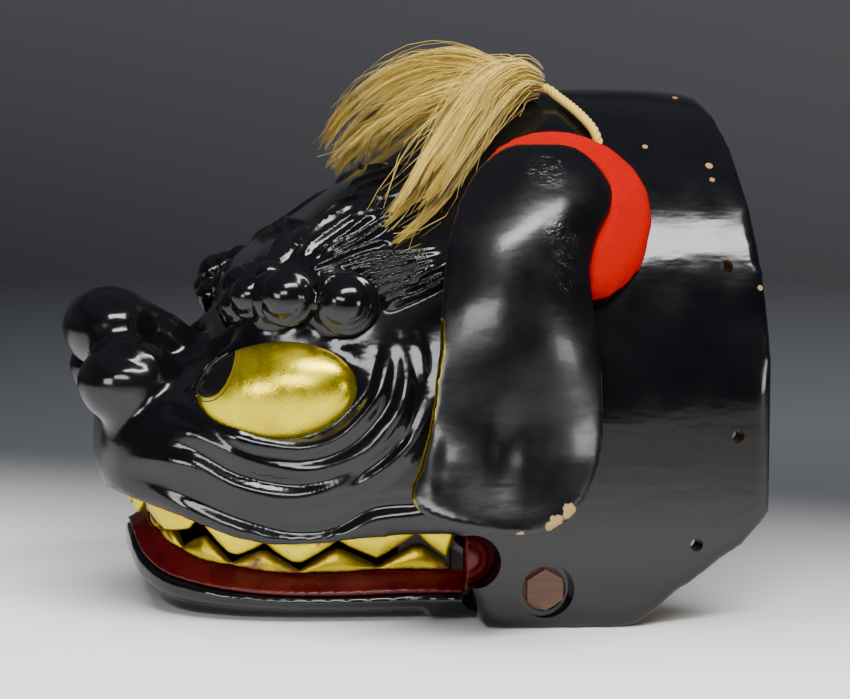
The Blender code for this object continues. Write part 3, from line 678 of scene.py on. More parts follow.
# Locks of carved hair, as points of the photograph; they are cast onto the head
hairLines = [
    [(247, 243), (259, 234), (273, 224), (287, 213), (311, 198), (326, 187)],
    [(262, 245), (269, 234), (277, 227), (289, 223), (305, 222)],
    [(270, 254), (280, 240), (287, 230), (296, 224), (305, 223)],
    [(283, 259), (292, 248), (301, 237), (312, 227), (326, 214), (342, 203), (360, 197),
     (380, 193)],
    [(292, 261), (303, 246), (314, 233), (329, 221), (345, 211), (366, 198)],
    [(300, 262), (308, 252), (318, 242), (336, 229), (354, 217), (373, 211), (398, 208)],
    [(273, 266), (287, 257), (304, 241), (317, 230)],
    [(310, 262), (322, 251), (336, 243), (354, 230), (367, 220), (379, 213)],
    [(317, 257), (339, 245), (360, 235), (379, 223), (395, 213)],
    [(326, 258), (342, 252), (360, 243), (379, 230), (387, 222)],
    [(336, 184), (350, 174), (368, 169), (385, 167)],
    [(348, 187), (367, 178), (392, 170), (410, 167)],
    [(354, 192), (373, 184), (395, 179), (413, 178)],
    [(367, 206), (382, 199), (401, 195), (416, 193)],
    [(306, 270), (326, 264), (348, 254), (373, 245), (392, 241)],
    [(311, 282), (320, 276), (336, 269), (354, 261), (379, 254), (410, 252), (439, 246)],
    [(326, 278), (342, 271), (360, 265), (382, 260), (410, 257), (440, 251)],
    [(314, 286), (332, 280), (354, 272), (379, 266), (404, 262), (438, 254)],
    [(354, 280), (370, 276), (387, 272), (410, 267), (441, 258)],
    [(364, 286), (379, 281), (398, 277), (416, 272), (441, 262)],
    [(370, 293), (385, 288), (404, 283), (423, 278), (444, 267)],
    [(378, 300), (398, 294), (420, 287), (448, 273)],
    [(385, 307), (404, 301), (429, 290), (449, 279)],
]


def castFromView(tree, px, py):
    # point of the surface that the photograph shows at a pixel of its 850 x 699 frame
    place, target = Vector(view["place"]), Vector(view["target"])
    ahead = (target - place).normalized()
    right = ahead.cross(Vector((0, 0, 1))).normalized()
    up = right.cross(ahead)
    focal = view["lens"] / 36 * 850
    ray = (ahead * focal + right * (px - 425) - up * (py - 349.5)).normalized()
    hit = tree.ray_cast(place, ray)
    return hit[0] / mm if hit[0] else None


def carve(tree, line, halfWidth, sharpness, taper):
    # how much each vertex near a line takes part, on both sides of the head
    points = curveThrough(line, 10)
    last = len(points) - 1
    share = {}
    for side in (1, -1):
        for i, point in enumerate(points):
            along = i / last
            fade = min(smoothStep(0, taper, along), smoothStep(0, taper, 1 - along))
            centre = Vector((point.x, point.y * side, point.z)) * mm
            for co, index, distance in tree.find_range(centre, halfWidth * mm):
                t = 1 - distance / (halfWidth * mm)
                amount = fade * (t ** sharpness if sharpness > 1.2 else smoothStep(0, 1, t))
                if amount > share.get(index, 0.0):
                    share[index] = amount
    return share


def liftVerts(bm, total):
    bm.verts.ensure_lookup_table()
    bm.normal_update()
    for index, amount in total.items():
        vert = bm.verts[index]
        vert.co += vert.normal * amount * mm


def addCut(total, share, height):
    for index, amount in share.items():
        total[index] = total.get(index, 0.0) + amount * height


def vertTree(bm):
    tree = KDTree(len(bm.verts))
    for vert in bm.verts:
        tree.insert(vert.co, vert.index)
    tree.balance()
    return tree


def refineNear(bm, lines, reach):
    # halves the faces within reach of the lines, on both sides of the head
    points = [p for line in lines for p in curveThrough(line, 6)]
    near = KDTree(len(points))
    for p in points:
        near.insert((p[0], abs(p[1]), p[2]), 0)
    near.balance()
    edges = set()
    for face in bm.faces:
        x, y, z = face.calc_center_median() / mm
        if near.find((x, abs(y), z))[2] < reach:
            edges.update(face.edges)
    bmesh.ops.subdivide_edges(bm, edges=list(edges), cuts=1, use_grid_fill=True, smooth=0.5)
    bm.verts.ensure_lookup_table()
    bm.verts.index_update()


def castLine(surface, line):
    points = [castFromView(surface, *pixel) for pixel in line]
    return [p for p in points if p]


def makeHead():
    bm = headLoft(110, 150, 0.0, -170, 189)
    addBall(bm, *head["noseTip"])
    (x, y, z), radii = head["noseWing"]
    for side in (1, -1):
        addBall(bm, (x, y * side, z), radii)
    path = curveThrough([(x, 0, z) for x, z, r in head["bridge"]], 6)
    steps = [(i, r) for i, (x, z, r) in enumerate(head["bridge"])]
    joinInto(bm, tubeAlong(path, [tableValue(steps, k / 6, 1) for k in range(len(path))], 32))
    for side in (1, -1):
        for x, y, z, r in head["brow"]:
            addBall(bm, (x, y * side, z), (r, r, r))
        # swollen lids round the eye
        joinInto(bm, tubeAlong(eyeRing(side, 72, 1.04, 2.0, 1.05), [head["lidTube"]] * 73, 12))
    shell = makeObject("carvedHead", bm)
    bake(shell, "REMESH", mode="VOXEL", voxel_size=head["voxel"])
    below = head["underside"] + [(220, -60), (-220, -60)]
    cutWith(shell, makeObject("cutter", slabAcross(below, -230, 230)))
    bake(shell, "REMESH", mode="VOXEL", voxel_size=head["voxel"])
    print("head: body of", len(shell.data.polygons), "faces")
    bm = meshOf(shell)
    smoothVerts(bm, 5)
    surface = BVHTree.FromBMesh(bm)
    hair = [points for points in (castLine(surface, line) for line in hairLines)
            if len(points) > 1]
    crest, hollow = [castLine(surface, head[name]) for name in ("nostril", "nostrilHollow")]
    refineNear(bm, hair + list(relief.values()) + [crest, hollow], 7.0)
    smoothVerts(bm, 2)
    refineNear(bm, hair, 3.2)
    tree = vertTree(bm)
    total = {}
    for name, halfWidth, height, sharpness in reliefCuts:
        addCut(total, carve(tree, relief[name], halfWidth, sharpness, 0.22), height)
    for points, (halfWidth, height) in ((crest, head["crestCut"]), (hollow, head["hollowCut"])):
        addCut(total, carve(tree, points, halfWidth, 1.3, 0.25), height)
    strands = {}
    halfWidth, height = head["hairCut"]
    for line in hair:
        for index, amount in carve(tree, line, halfWidth, 1.3, 0.2).items():
            strands[index] = max(strands.get(index, 0.0), amount)
    addCut(total, strands, height)
    liftVerts(bm, total)
    keepMesh(bm, shell)
    print("head: relief carved on", len(shell.data.polygons), "faces")
    return shell


def hollowForm():
    # inside of the head: the outside drawn in by the wall
    wall = head["wall"]
    inner = headLoft(44, 34, -wall, head["hollowFrom"], 215,
                     lambda x: min(max(x - wall, -157), 189), 30.0)
    return makeObject("hollow", inner)


def hollowHead(shell):
    cutter = hollowForm()
    for piece in (shell, cutter):
        giveMaterials(piece, black, bareWood, red)
    for face in cutter.data.polygons:
        face.material_index = 1
    # vermilion reaches over the front edge of the upper lip
    for face in shell.data.polygons:
        x, y, z = face.center / mm
        if x < head["redBefore"] and z < tableValue(head["underside"], x, 1) + head["redAbove"]:
            face.material_index = 2
    cutWith(shell, cutter)
    x, z = hinge
    notchX, notchZ, notchRadius = head["cornerNotch"]
    cuts = [(x, z, 100, 170, head["bore"], 40), (x, z, head["wornFrom"], 170, head["wornBore"], 40),
            (notchX, notchZ, 100, 150, notchRadius, 40)]
    cuts += [(x, z, 90, 170, head["rimHole"], 24) for x, z in head["rimHoles"]]
    for side in (1, -1):
        for x, z, near, far, radius, sides in cuts:
            bar = barBetween((x, -near * side, z), (x, -far * side, z), radius, sides)
            cutWith(shell, makeObject("bore", bar))
    shell.data.shade_smooth()
    shell.data.set_sharp_from_angle(angle=math.radians(50))


print("head")
shell = makeHead()
hollowHead(shell)
markEdges(shell)
finishPiece(shell, "head", ["head_shell"])


# Curls of the brow: balls with a collar round one side, left side of the head
browCurls = {
    # point on the brow, outward direction, radius
    "curls": [
        ((-42, -113, 180), (-0.10, -0.98, 0.12), 18.5),
        ((-74, -103, 183), (-0.34, -0.93, 0.08), 17.0),
        ((-93, -87, 182), (-0.55, -0.83, 0.0), 13.0),
        ((-99, -70, 176), (-0.78, -0.62, 0.0), 11.5),
        ((-100, -54, 172), (-0.92, -0.35, -0.05), 11.0),
        ((-97, -61, 188), (-0.82, -0.48, 0.3), 11.0),
        ((-89, -57, 193), (-0.65, -0.45, 0.6), 9.5),
        ((-80, -52, 198), (-0.5, -0.4, 0.75), 8.5),
        ((-93, -37, 179), (-0.98, -0.1, 0.05), 11.5),
        ((-91, -12, 180), (-0.98, -0.02, 0.1), 12.0),
        ((-86, -35, 190), (-0.75, -0.1, 0.62), 10.0),
        ((-83, -12, 190), (-0.75, -0.02, 0.65), 10.0),
        ((-79, -70, 195), (-0.4, -0.62, 0.65), 9.0)],
    "voxel": 0.0012,
}


def arcTube(centre, out, across, up, reach, height, first, last, thick, side):
    path, radii = [], []
    for k in range(25):
        t = k / 24
        angle = math.radians(first + (last - first) * t)
        p = centre + across * math.cos(angle) * reach + up * math.sin(angle) * reach + out * height
        path.append((p.x, p.y * side, p.z))
        radii.append(thick * (0.18 + 0.82 * math.sin(math.pi * t) ** 0.7))
    return tubeAlong(path, radii, 14)


def addCurl(bm, centre, outward, radius, side):
    centre, out = Vector(centre), Vector(outward).normalized()
    up = (Vector((0, 0, 1)) - out * out.z).normalized()
    across = up.cross(out)
    base = centre - out * radius * 0.4
    ball = centre - across * radius * 0.14 + up * radius * 0.06 - out * radius * 0.12
    for spot, size in ((base, 0.88), (ball, 0.58)):
        addBall(bm, (spot.x, spot.y * side, spot.z), [radius * size] * 3, segments=32)
    # the collar, and the groove's roll on the ball
    for spot, reach, height, first, last, thick in (
            (centre, 0.80, -0.12, 115, -170, 0.24), (ball, 0.34, 0.46, 20, -110, 0.07)):
        joinInto(bm, arcTube(spot, out, across, up, radius * reach, radius * height, first, last,
                             radius * thick, side))


def makeCurls(side, name):
    bm = bmesh.new()
    for centre, outward, radius in browCurls["curls"]:
        addCurl(bm, centre, outward, radius, side)
    piece = makeObject(name, bm, black)
    remeshed(piece, browCurls["voxel"], 3)
    cutWith(piece, hollowForm())
    markEdges(piece)
    giveMaterials(piece, black)
    return finishPiece(piece, "head")


# Pale wooden plugs of old nails, flush with the lacquer of the head
plugs = {
    # pixel of the photograph, radius
    "spots": [((709, 166), 2.2), ((712, 180), 1.5), ((645, 147), 1.6), ((675, 98), 1.7),
              ((760, 288), 1.6)],
    "proud": 0.35, "deep": 2.0,
}


def makePlugs(name):
    bm = meshOf(shell)
    surface = BVHTree.FromBMesh(bm)
    bm.free()
    bm = bmesh.new()
    for pixel, radius in plugs["spots"]:
        spot = castFromView(surface, *pixel)
        if spot is None:
            continue
        normal = surface.find_nearest(spot * mm)[1]
        ends = [spot - normal * plugs["deep"], spot + normal * plugs["proud"]]
        for side in (1, -1):
            joinInto(bm, tubeAlong([(p.x, p.y * side, p.z) for p in ends], [radius] * 2, 20))
    finishPiece(makeObject(name, bm, paleWood, smooth=False), "head")


print("plugs")
makePlugs("nailPlugs")
print("brow curls")
makeCurls(1, "browCurlsLeft")
makeCurls(-1, "browCurlsRight")


# Eyes: gilded eggs with a lacquered pupil on the front end
pupil = {"centre": (-31.5, -6.5, 15.0), "radius": 15.5, "ring": 17.0, "line": 17.7}


def eyeMaterial():
    material, tree, shader = newMaterial("gildedEyeLacquerPupil")
    place = addNode(tree, "ShaderNodeTexCoord", output="Object")
    local = addNode(tree, "ShaderNodeAttribute", {"attribute_name": "eyeLocal"}, "Vector")
    rim = addNode(tree, "ShaderNodeAttribute", {"attribute_name": "rim"}, "Fac")
    patch, grain, tone = goldNodes(tree, place)
    far = addNode(tree, "ShaderNodeVectorMath", {
        "operation": "DISTANCE", 0: local, 1: pupil["centre"]}, "Value")
    uneven = addNode(tree, "ShaderNodeMath", {
        "operation": "MULTIPLY_ADD", 0: patch, 1: 2.0, 2: far})
    bands = []
    for name, soft, inside in (("radius", 0.6, 1.0), ("ring", 0.4, 0.0), ("line", 0.4, 1.0)):
        bands.append(addNode(tree, "ShaderNodeMapRange", {
            "Value": uneven, "From Min": pupil[name] + 1.0, "From Max": pupil[name] + 1.0 + soft,
            "To Min": inside, "To Max": 1.0 - inside}, "Result"))
    line = addNode(tree, "ShaderNodeMath", {"operation": "MULTIPLY", 0: bands[1], 1: bands[2]})
    ink = addNode(tree, "ShaderNodeMath", {"operation": "MAXIMUM", 0: bands[0], 1: line})
    # red-brown ground shows in cracks 6 mm apart and round the rim
    crack = addNode(tree, "ShaderNodeTexNoise", {
        "Vector": place, "Scale": 180.0, "Detail": 5.0, "Roughness": 0.65})
    rubbed = addNode(tree, "ShaderNodeMath", {
        "operation": "MULTIPLY_ADD", 0: rim, 1: 0.40, 2: crack})
    bare = addNode(tree, "ShaderNodeMapRange", {
        "Value": rubbed, "From Min": 0.76, "From Max": 0.82}, "Result")
    ground = addNode(tree, "ShaderNodeMix", {
        "data_type": "RGBA", 0: bare, 6: tone, 7: "#6b2a16"}, 2)
    colour = addNode(tree, "ShaderNodeMix", {
        "data_type": "RGBA", 0: ink, 6: ground, 7: "#0b0a0a"}, 2)
    cover = addNode(tree, "ShaderNodeMath", {"operation": "MAXIMUM", 0: ink, 1: bare})
    metal = addNode(tree, "ShaderNodeMapRange", {
        "Value": cover, "To Min": 0.92, "To Max": 0.0}, "Result")
    gloss = addNode(tree, "ShaderNodeMapRange", {
        "Value": patch, "From Min": 0.3, "From Max": 0.7, "To Min": 0.2, "To Max": 0.36}, "Result")
    height = addNode(tree, "ShaderNodeMath", {
        "operation": "MULTIPLY_ADD", 0: grain, 1: 0.3, 2: patch})
    bump = addNode(tree, "ShaderNodeBump", {"Height": height, "Strength": 0.3, "Distance": 0.001})
    setSockets(shader, {"Base Color": colour, "Metallic": metal, "Roughness": gloss,
                        "Normal": bump})
    return material


def makeEye(side, name, node, material):
    bm = bmesh.new()
    bmesh.ops.create_uvsphere(bm, u_segments=96, v_segments=64, radius=1.0)
    bmesh.ops.rotate(bm, matrix=Matrix.Rotation(math.pi / 2, 3, "X"), verts=bm.verts)
    bmesh.ops.scale(bm, vec=[r * mm for r in eye["radii"]], verts=bm.verts)
    seat = eye["seat"]
    cut = bmesh.ops.bisect_plane(bm, geom=bm.verts[:] + bm.edges[:] + bm.faces[:], clear_outer=True,
                                 plane_co=(0, seat * side * mm, 0), plane_no=(0, side, 0))
    rim = [e for e in cut["geom_cut"] if isinstance(e, bmesh.types.BMEdge)]
    bmesh.ops.contextual_create(bm, geom=rim)
    local = [(v.co.x / mm, v.co.y * side / mm, v.co.z / mm) for v in bm.verts]
    bmesh.ops.transform(bm, matrix=eyePlace(side), verts=bm.verts)
    piece = makeObject(name, bm, material)
    edge = []
    for x, y, z in local:
        out = max(1 - abs(y - seat) / 10, 0.0) if y > -12 else 0.0
        edge.append(out * (0.5 + 0.5 * smoothStep(-10, 30, x) + 0.3 * smoothStep(0, -20, z)))
    storeValues(piece, "eyeLocal", [value for p in local for value in p], "FLOAT_VECTOR")
    storeValues(piece, "rim", edge)
    cutWith(piece, hollowForm())
    giveMaterials(piece, material)
    return finishPiece(piece, "head", [node])


# Raised rim where each eye meets the wood, black with the gilding rubbed onto it
lidRim = {"grow": 1.012, "depth": 1.0, "thick": 1.7}


def makeLidRim(side, name):
    ring = eyeRing(side, 96, lidRim["grow"], lidRim["depth"], lidRim["grow"])
    piece = makeObject(name, tubeAlong(ring, [lidRim["thick"]] * 97, 12), giltBlack)
    markEdges(piece)
    return finishPiece(piece, "head")


# Black lacquer with gold leaf rubbed onto it in thin worn patches
def giltBlackLacquer():
    material = blackLacquer("giltBlackLacquer")
    tree = material.node_tree
    place = addNode(tree, "ShaderNodeTexCoord", output="Object")
    patch, grain, tone = goldNodes(tree, place)
    mask = addNode(tree, "ShaderNodeMapRange", {
        "Value": patch, "From Min": 0.5, "From Max": 0.56, "To Max": 0.9}, "Result")
    layOver(tree, "Base Color", mask, tone)
    setSockets(tree.nodes["Principled BSDF"], {"Metallic": mask})
    return material


print("eyes")
giltBlack = giltBlackLacquer()
makeLidRim(1, "lidRimLeft")
makeLidRim(-1, "lidRimRight")
eyeFinish = eyeMaterial()
makeEye(1, "eyeLeft", "eye_left", eyeFinish)
makeEye(-1, "eyeRight", "eye_right", eyeFinish)


# Ears: carved leaves in black lacquer
ear = {
    # z, front x, rear x, crest y, bulge
    "rows": [
        (266, 54, 82, -110, 4), (262, 43, 92, -117, 9), (253, 31, 101, -127, 14),
        (242, 22, 106, -137, 17), (230, 15, 104, -146, 18), (215, 9, 94, -154, 18),
        (198, 5, 88, -160, 17), (180, 2, 88, -165, 15), (158, 0, 90, -168, 13),
        (136, -3, 91, -168, 11), (116, -6, 91, -168, 9), (100, -11, 89, -170, 8),
        (88, -17, 84, -174, 7), (77, -16, 77, -179, 7), (68, -2, 67, -183.5, 6),
        (62, 22, 55, -184.5, 4)],
    "wall": 6.5, "voxel": 0.0017,
    # line, half width, height
    "dents": [([(38, -172, 130), (34, -172, 105), (30, -180, 78)], 13.0, -2.4),
              ([(-2, -160, 118), (-6, -164, 98), (-8, -172, 80)], 8.0, 1.6),
              ([(22, -140, 240), (18, -152, 222), (14, -158, 205)], 9.0, 2.2)],
    "chips": [((4, -140, 219), 4.0), ((58, -180, 66), 8.0), ((68, -178, 73), 8.0),
              ((38, -184, 62), 4.0)],
    "wrinkles": [((66, -128, 257), 20.0), ((72, -152, 214), 17.0), ((72, -157, 198), 14.0)],
}


def makeEar(side, name, node):
    rows = curveThrough([row[:3] for row in ear["rows"]], 6)
    more = curveThrough([(*row[3:5], 0) for row in ear["rows"]], 6)
    last = len(rows) - 1

    def place(u, v):
        i = round(v * last)
        z, front, rear = rows[i]
        crest, bulge = more[i][:2]
        reach = math.sin((u * 2 - 1) * math.pi / 2 * 0.999)
        return ((front + rear) / 2 + (rear - front) / 2 * reach,
                (crest + bulge * reach * reach) * side, z)

    def dent(bm):
        # shallow hollow down the middle of the flared end
        tree = vertTree(bm)
        total = {}
        for line, halfWidth, height in ear["dents"]:
            addCut(total, carve(tree, line, halfWidth, 1.0, 0.5), height)
        liftVerts(bm, total)

    bm = wrapGrid(30, last, place, fill=False)
    facing = sum((f.normal for f in bm.faces), Vector()).y
    if facing * side > 0:
        bmesh.ops.reverse_faces(bm, faces=bm.faces)
    bmesh.ops.solidify(bm, geom=bm.faces[:], thickness=ear["wall"] * mm)
    bmesh.ops.recalc_face_normals(bm, faces=bm.faces)
    piece = makeObject(name, bm)
    remeshed(piece, ear["voxel"], 9, dent)
    giveMaterials(piece, earFinish)
    markEdges(piece)
    for kind in ("chip", "wrinkle"):
        spots = [(Vector((x, y * side, z)), r) for (x, y, z), r in ear[kind + "s"]]
        storeValues(piece, kind, [max(0.0, *[1 - (vert.co / mm - centre).length / radius
                                             for centre, radius in spots])
                                  for vert in piece.data.vertices])
    gilt = []
    for vert in piece.data.vertices:
        x, y, z = vert.co / mm
        facing = smoothStep(0.4, 0.75, -vert.normal.x)
        gilt.append(facing * smoothStep(70, 82, z) * smoothStep(185, 160, z) * smoothStep(20, 8, x))
    storeValues(piece, "gilt", gilt)
    return finishPiece(piece, "head", [node])


def spotted(material):
    # adds bare wood chips, a gilded front edge and wrinkles 4 mm apart to the lacquer
    tree = material.node_tree
    shader = tree.nodes["Principled BSDF"]
    place = addNode(tree, "ShaderNodeTexCoord", output="Object")
    chip, gilt, wrinkle = [addNode(tree, "ShaderNodeAttribute", {"attribute_name": name}, "Fac")
                           for name in ("chip", "gilt", "wrinkle")]
    rough = addNode(tree, "ShaderNodeTexNoise", {"Vector": place, "Scale": 300.0, "Detail": 4.0})
    chips = addNode(tree, "ShaderNodeMath", {
        "operation": "MULTIPLY_ADD", 0: rough, 1: 0.9, 2: chip})
    mask = addNode(tree, "ShaderNodeMapRange", {
        "Value": chips, "From Min": 0.78, "From Max": 0.84}, "Result")
    layOver(tree, "Base Color", mask, "#9c8250")
    layOver(tree, "Roughness", mask, 0.75)
    leaf, grain, tone = goldNodes(tree, place, "#4c3e0a", "#b29c2e")
    gilded = addNode(tree, "ShaderNodeMath", {
        "operation": "MULTIPLY_ADD", 0: leaf, 1: 0.5, 2: gilt})
    metal = addNode(tree, "ShaderNodeMapRange", {
        "Value": gilded, "From Min": 0.62, "From Max": 0.72}, "Result")
    layOver(tree, "Base Color", metal, tone)
    crease = addNode(tree, "ShaderNodeTexNoise", {
        "Vector": place, "Scale": 230.0, "Detail": 3.0, "Distortion": 1.5})
    area = addNode(tree, "ShaderNodeMapRange", {
        "Value": wrinkle, "From Min": 0.1, "From Max": 0.5}, "Result")
    height = addNode(tree, "ShaderNodeMath", {"operation": "MULTIPLY", 0: crease, 1: area})
    under = shader.inputs["Normal"].links[0].from_socket
    bump = addNode(tree, "ShaderNodeBump", {
        "Height": height, "Strength": 0.55, "Distance": 0.0011, "Normal": under})
    setSockets(shader, {"Metallic": metal, "Normal": bump})
    return material


print("ears")
earFinish = spotted(blackLacquer("blackLacquerEar", (0.2, 0.32)))
makeEar(1, "earLeft", "ear_left")
makeEar(-1, "earRight", "ear_right")


# Mouth: rows along it have x, y, lip height, inset of upper teeth and of jaw, jaw edge, tooth base
mouth = {
    "rows": [
        (-170, 0, 73, 16, 18, 43, 52), (-168, 24, 72, 16, 17, 40, 50),
        (-160, 46, 69, 14, 14, 31, 44), (-147, 66, 66, 12, 12, 24, 38),
        (-128, 82, 60, 11, 11, 20, 32), (-105, 94, 51, 10, 10, 17, 29),
        (-75, 104, 45, 10, 10, 15, 26), (-40, 112, 49, 10, 11, 15, 27),
        (-10, 118, 52, 10, 12, 16, 28), (22, 125, 52, 10, 13, 16, 27)],
    "upperTeeth": [
        (0, 12, 24, 16), (24, 35, 46, 17), (46, 73, 99, 17), (99, 122, 141, 14),
        (141, 160, 183, 12), (183, 205, 227, 14), (227, 243, 248, 15)],
    "lowerTeeth": [
        (0, 12, 24, 9), (24, 36, 48, 10), (48, 63, 78, 12), (78, 97, 117, 14),
        (117, 138, 160, 12), (160, 181, 205, 14), (205, 228, 245, 15)],
    "toothThick": 5.0, "toothVoxel": 0.0011, "frontPower": 0.42, "sidePower": 0.86,
    "frontTeeth": 80, "bulge": 2.6,
    "lipSlope": 14.0, "lipVoxel": 0.0014, "jawWall": 19.0, "gumVoxel": 0.0012,
    "cheekRuns": [216, 222, 230, 238, 246], "cheekInset": (15.6, 18.4),
    # discs of the stepped corner: radius and outer face, and the link over them
    "corner": (24.5, 38), "discs": [(15.0, 119.5), (11.0, 121.5), (6.5, 123.4)], "discFrom": 110,
    "link": [(17, 57), (17, 64), (34, 64), (34, 46), (26, 46), (26, 57)],
    "linkWidth": (110.5, 114.5),
    "gumCut": [(-20, 20), (-20, 54.5), (24.2, 54.5), (24.2, 20)], "gumCutWidth": (109.5, 126),
}
jaw = {
    # share of the height and inset of the section's outer side
    "section": [
        (1.0, 0), (0.93, -0.9), (0.8, -1.2), (0.67, -0.6), (0.58, 0.6), (0.5, 2.6), (0.44, 5.5),
        (0.36, 8.5), (0.28, 10.0), (0.2, 11.0), (0.12, 12.0), (0.05, 13.5), (0.0, 15)],
    "rake": 0.012, "floor": 8.0, "lift": 0.7, "bore": 12.3, "voxel": 0.002,
    "arm": (97.0, 109.0), "armEnd": 16,
}
spotRow = namedtuple("spotRow", "run x y inX inY lip upper jaw edge base")


def mouthPath():
    side = curveThrough([Vector(row) for row in mouth["rows"]], 5)
    whole = [row.copy() for row in reversed(side[1:])]
    whole += [Vector((row[0], -row[1], *row[2:])) for row in side]
    spots = []
    travelled = 0.0
    for i, row in enumerate(whole):
        before, after = whole[max(i - 1, 0)], whole[min(i + 1, len(whole) - 1)]
        run = Vector((after[0] - before[0], after[1] - before[1])).normalized()
        inward = Vector((-run.y, run.x))
        if inward.dot(Vector((60 - row[0], -row[1]))) < 0:
            inward = -inward
        if i:
            travelled += math.hypot(row[0] - before[0], row[1] - before[1])
        spots.append(spotRow(travelled, row[0], row[1], inward.x, inward.y, *row[2:]))
    middle = spots[len(spots) // 2].run
    return [s._replace(run=s.run - middle) for s in spots]


def spotAt(path, run):
    for a, b in zip(path, path[1:]):
        if a.run <= run <= b.run:
            t = (run - a.run) / (b.run - a.run)
            return spotRow(*[p * (1 - t) + q * t for p, q in zip(a, b)])
    return path[0] if run < 0 else path[-1]


def across(spot, inset, z):
    inward = Vector((spot.inX, spot.inY)).normalized()
    return Vector((spot.x + inward.x * inset, spot.y + inward.y * inset, z))


def bandAlong(spots, rings):
    # sweeps a closed section of inset and height along the mouth
    count = len(rings[0])
    last = len(spots) - 1

    def place(u, v):
        i = round(v * last)
        return across(spots[i], *rings[i][round(u * count) % count])

    return wrapGrid(count, last, place)


def lowerGumCorners(s):
    low = s.edge + 0.3
    top = mouth["lipSlope"] - 4
    points = [(s.jaw + 1.6, low), (s.jaw + 0.2, low + 1.0), (s.jaw + 0.1, low + 2.2)]
    for k in range(1, 7):
        t = k / 7
        sag = math.sin(t * math.pi) * 0.8
        points.append((s.jaw + top * t, low + 2.2 + (s.base - low - 2.2) * t ** 1.15 - sag))
    wall = s.jaw + mouth["jawWall"]
    return points + [(s.jaw + top, s.base), (s.jaw + top + 4, s.base), (wall, s.base), (wall, low)]


def jawCorners(s):
    rake = 1 + jaw["rake"] * max(0.0, s.edge - 20)
    outer = [(s.jaw + inset * rake, share * s.edge) for share, inset in jaw["section"]]
    inner = s.jaw + mouth["jawWall"]
    return outer + [(inner + 10 * (rake - 1), 0.0), (inner, s.edge)]


def upperGumCorners(s):
    outer, inner = s.upper - 1.0, s.upper + 12.0
    low, high = s.lip + 3.0, s.lip + 15.0
    return [(outer, low), (outer, high), (inner, high), (inner, low)]


def cheekCorners(s):
    outer, inner = [s.jaw + inset for inset in mouth["cheekInset"]]
    low, high = s.base - 3.0, s.lip + 3.0
    return [(outer, low), (outer, high), (inner, high), (inner, low)]


def toothRow(path, teeth, upper):
    # stops along the mouth with the height of the teeth there, then a bulged section
    stops = []
    for start, tip, end, length in teeth:
        for k in range(9):
            run = start + (end - start) * k / 8
            reach = (run - start) / (tip - start) if run <= tip else (end - run) / (end - tip)
            reach = max(min(reach, 1.0), 0.0)
            front = upper and abs(tip) < mouth["frontTeeth"]
            power = mouth["frontPower" if front else "sidePower"]
            if k or not stops:
                stops.append((run, max(length * (reach ** power * 0.9 + 0.1), 0.5),
                              math.sin(math.pi * reach / 2)))
    stops = [(-run, tall, swell) for run, tall, swell in reversed(stops[1:])] + stops

    def corners(s, tall, swell):
        if upper:
            outer = s.upper
            foot, tip = s.lip + 2.4, s.lip - tall
        else:
            outer = s.jaw + mouth["lipSlope"] - 3.0
            foot = s.base + 0.3
            tip = foot + tall
        out = mouth["bulge"] * swell
        ring = []
        for k in range(6):
            t = k / 5
            bulged = outer - out * math.sin(math.pi * (0.25 + 0.62 * t))
            ring.append((bulged + 1.9 * t * t + 0.4, foot + (tip - foot) * t))
        for k in range(4):
            t = k / 3
            ring.append((outer + mouth["toothThick"] - 0.4 * (1 - t), tip + (foot - tip) * t))
        return ring

    spots = [spotAt(path, run) for run, tall, swell in stops]
    return bandAlong(spots, [corners(s, *stop[1:]) for s, stop in zip(spots, stops)])


def makeMouth():
    path = mouthPath()
    # the lower teeth take the darker gold, which carries painted shade
    for name, upper, finish, body, node in (
            ("upperTeeth", True, gold, "head", "upper_teeth"),
            ("lowerTeeth", False, rubbedShadedGold, "jaw", "lower_teeth")):
        teeth = softened(name, toothRow(path, mouth[name], upper), mouth["toothVoxel"], 2, finish)
        finishPiece(teeth, body, [node])
    bm = bandAlong(path, [lowerGumCorners(s) for s in path])
    gum = softened("lowerLip", bm, mouth["lipVoxel"], 2, red)
    finishPiece(gum, "jaw", ["lower_gum"])
    # dark boards of the jaw behind the last teeth: painted shade, a dark sheet where the inside of
    # the mouth lies in shadow
    bm = bmesh.new()
    for side in (1, -1):
        rows = [spotAt(path, side * run) for run in mouth["cheekRuns"]]
        joinInto(bm, bandAlong(rows, [cheekCorners(s) for s in rows]))
    shadeBoard = softened("cheekBoards", bm, mouth["gumVoxel"], 2, shadeBrownWood)
    finishPiece(shadeBoard, "jaw")
    # upper gum with the stepped corners of the mouth
    bm = bandAlong(path, [upperGumCorners(s) for s in path])
    x, z = mouth["corner"]
    low = mouth["discFrom"]
    for side in (1, -1):
        for radius, high in mouth["discs"]:
            joinInto(bm, barBetween((x, -low * side, z), (x, -high * side, z), radius, 64))
        joinInto(bm, sideSlab(mouth["link"], mouth["linkWidth"], side))
    gum = softened("upperGum", bm, mouth["gumVoxel"], 2, red)
    cutter = sideSlab(mouth["gumCut"], mouth["gumCutWidth"], 1)
    joinInto(cutter, sideSlab(mouth["gumCut"], mouth["gumCutWidth"], -1))
    cutWith(gum, makeObject("frontHalf", cutter))
    gum.data.shade_smooth()
    finishPiece(gum, "head", ["upper_gum"])


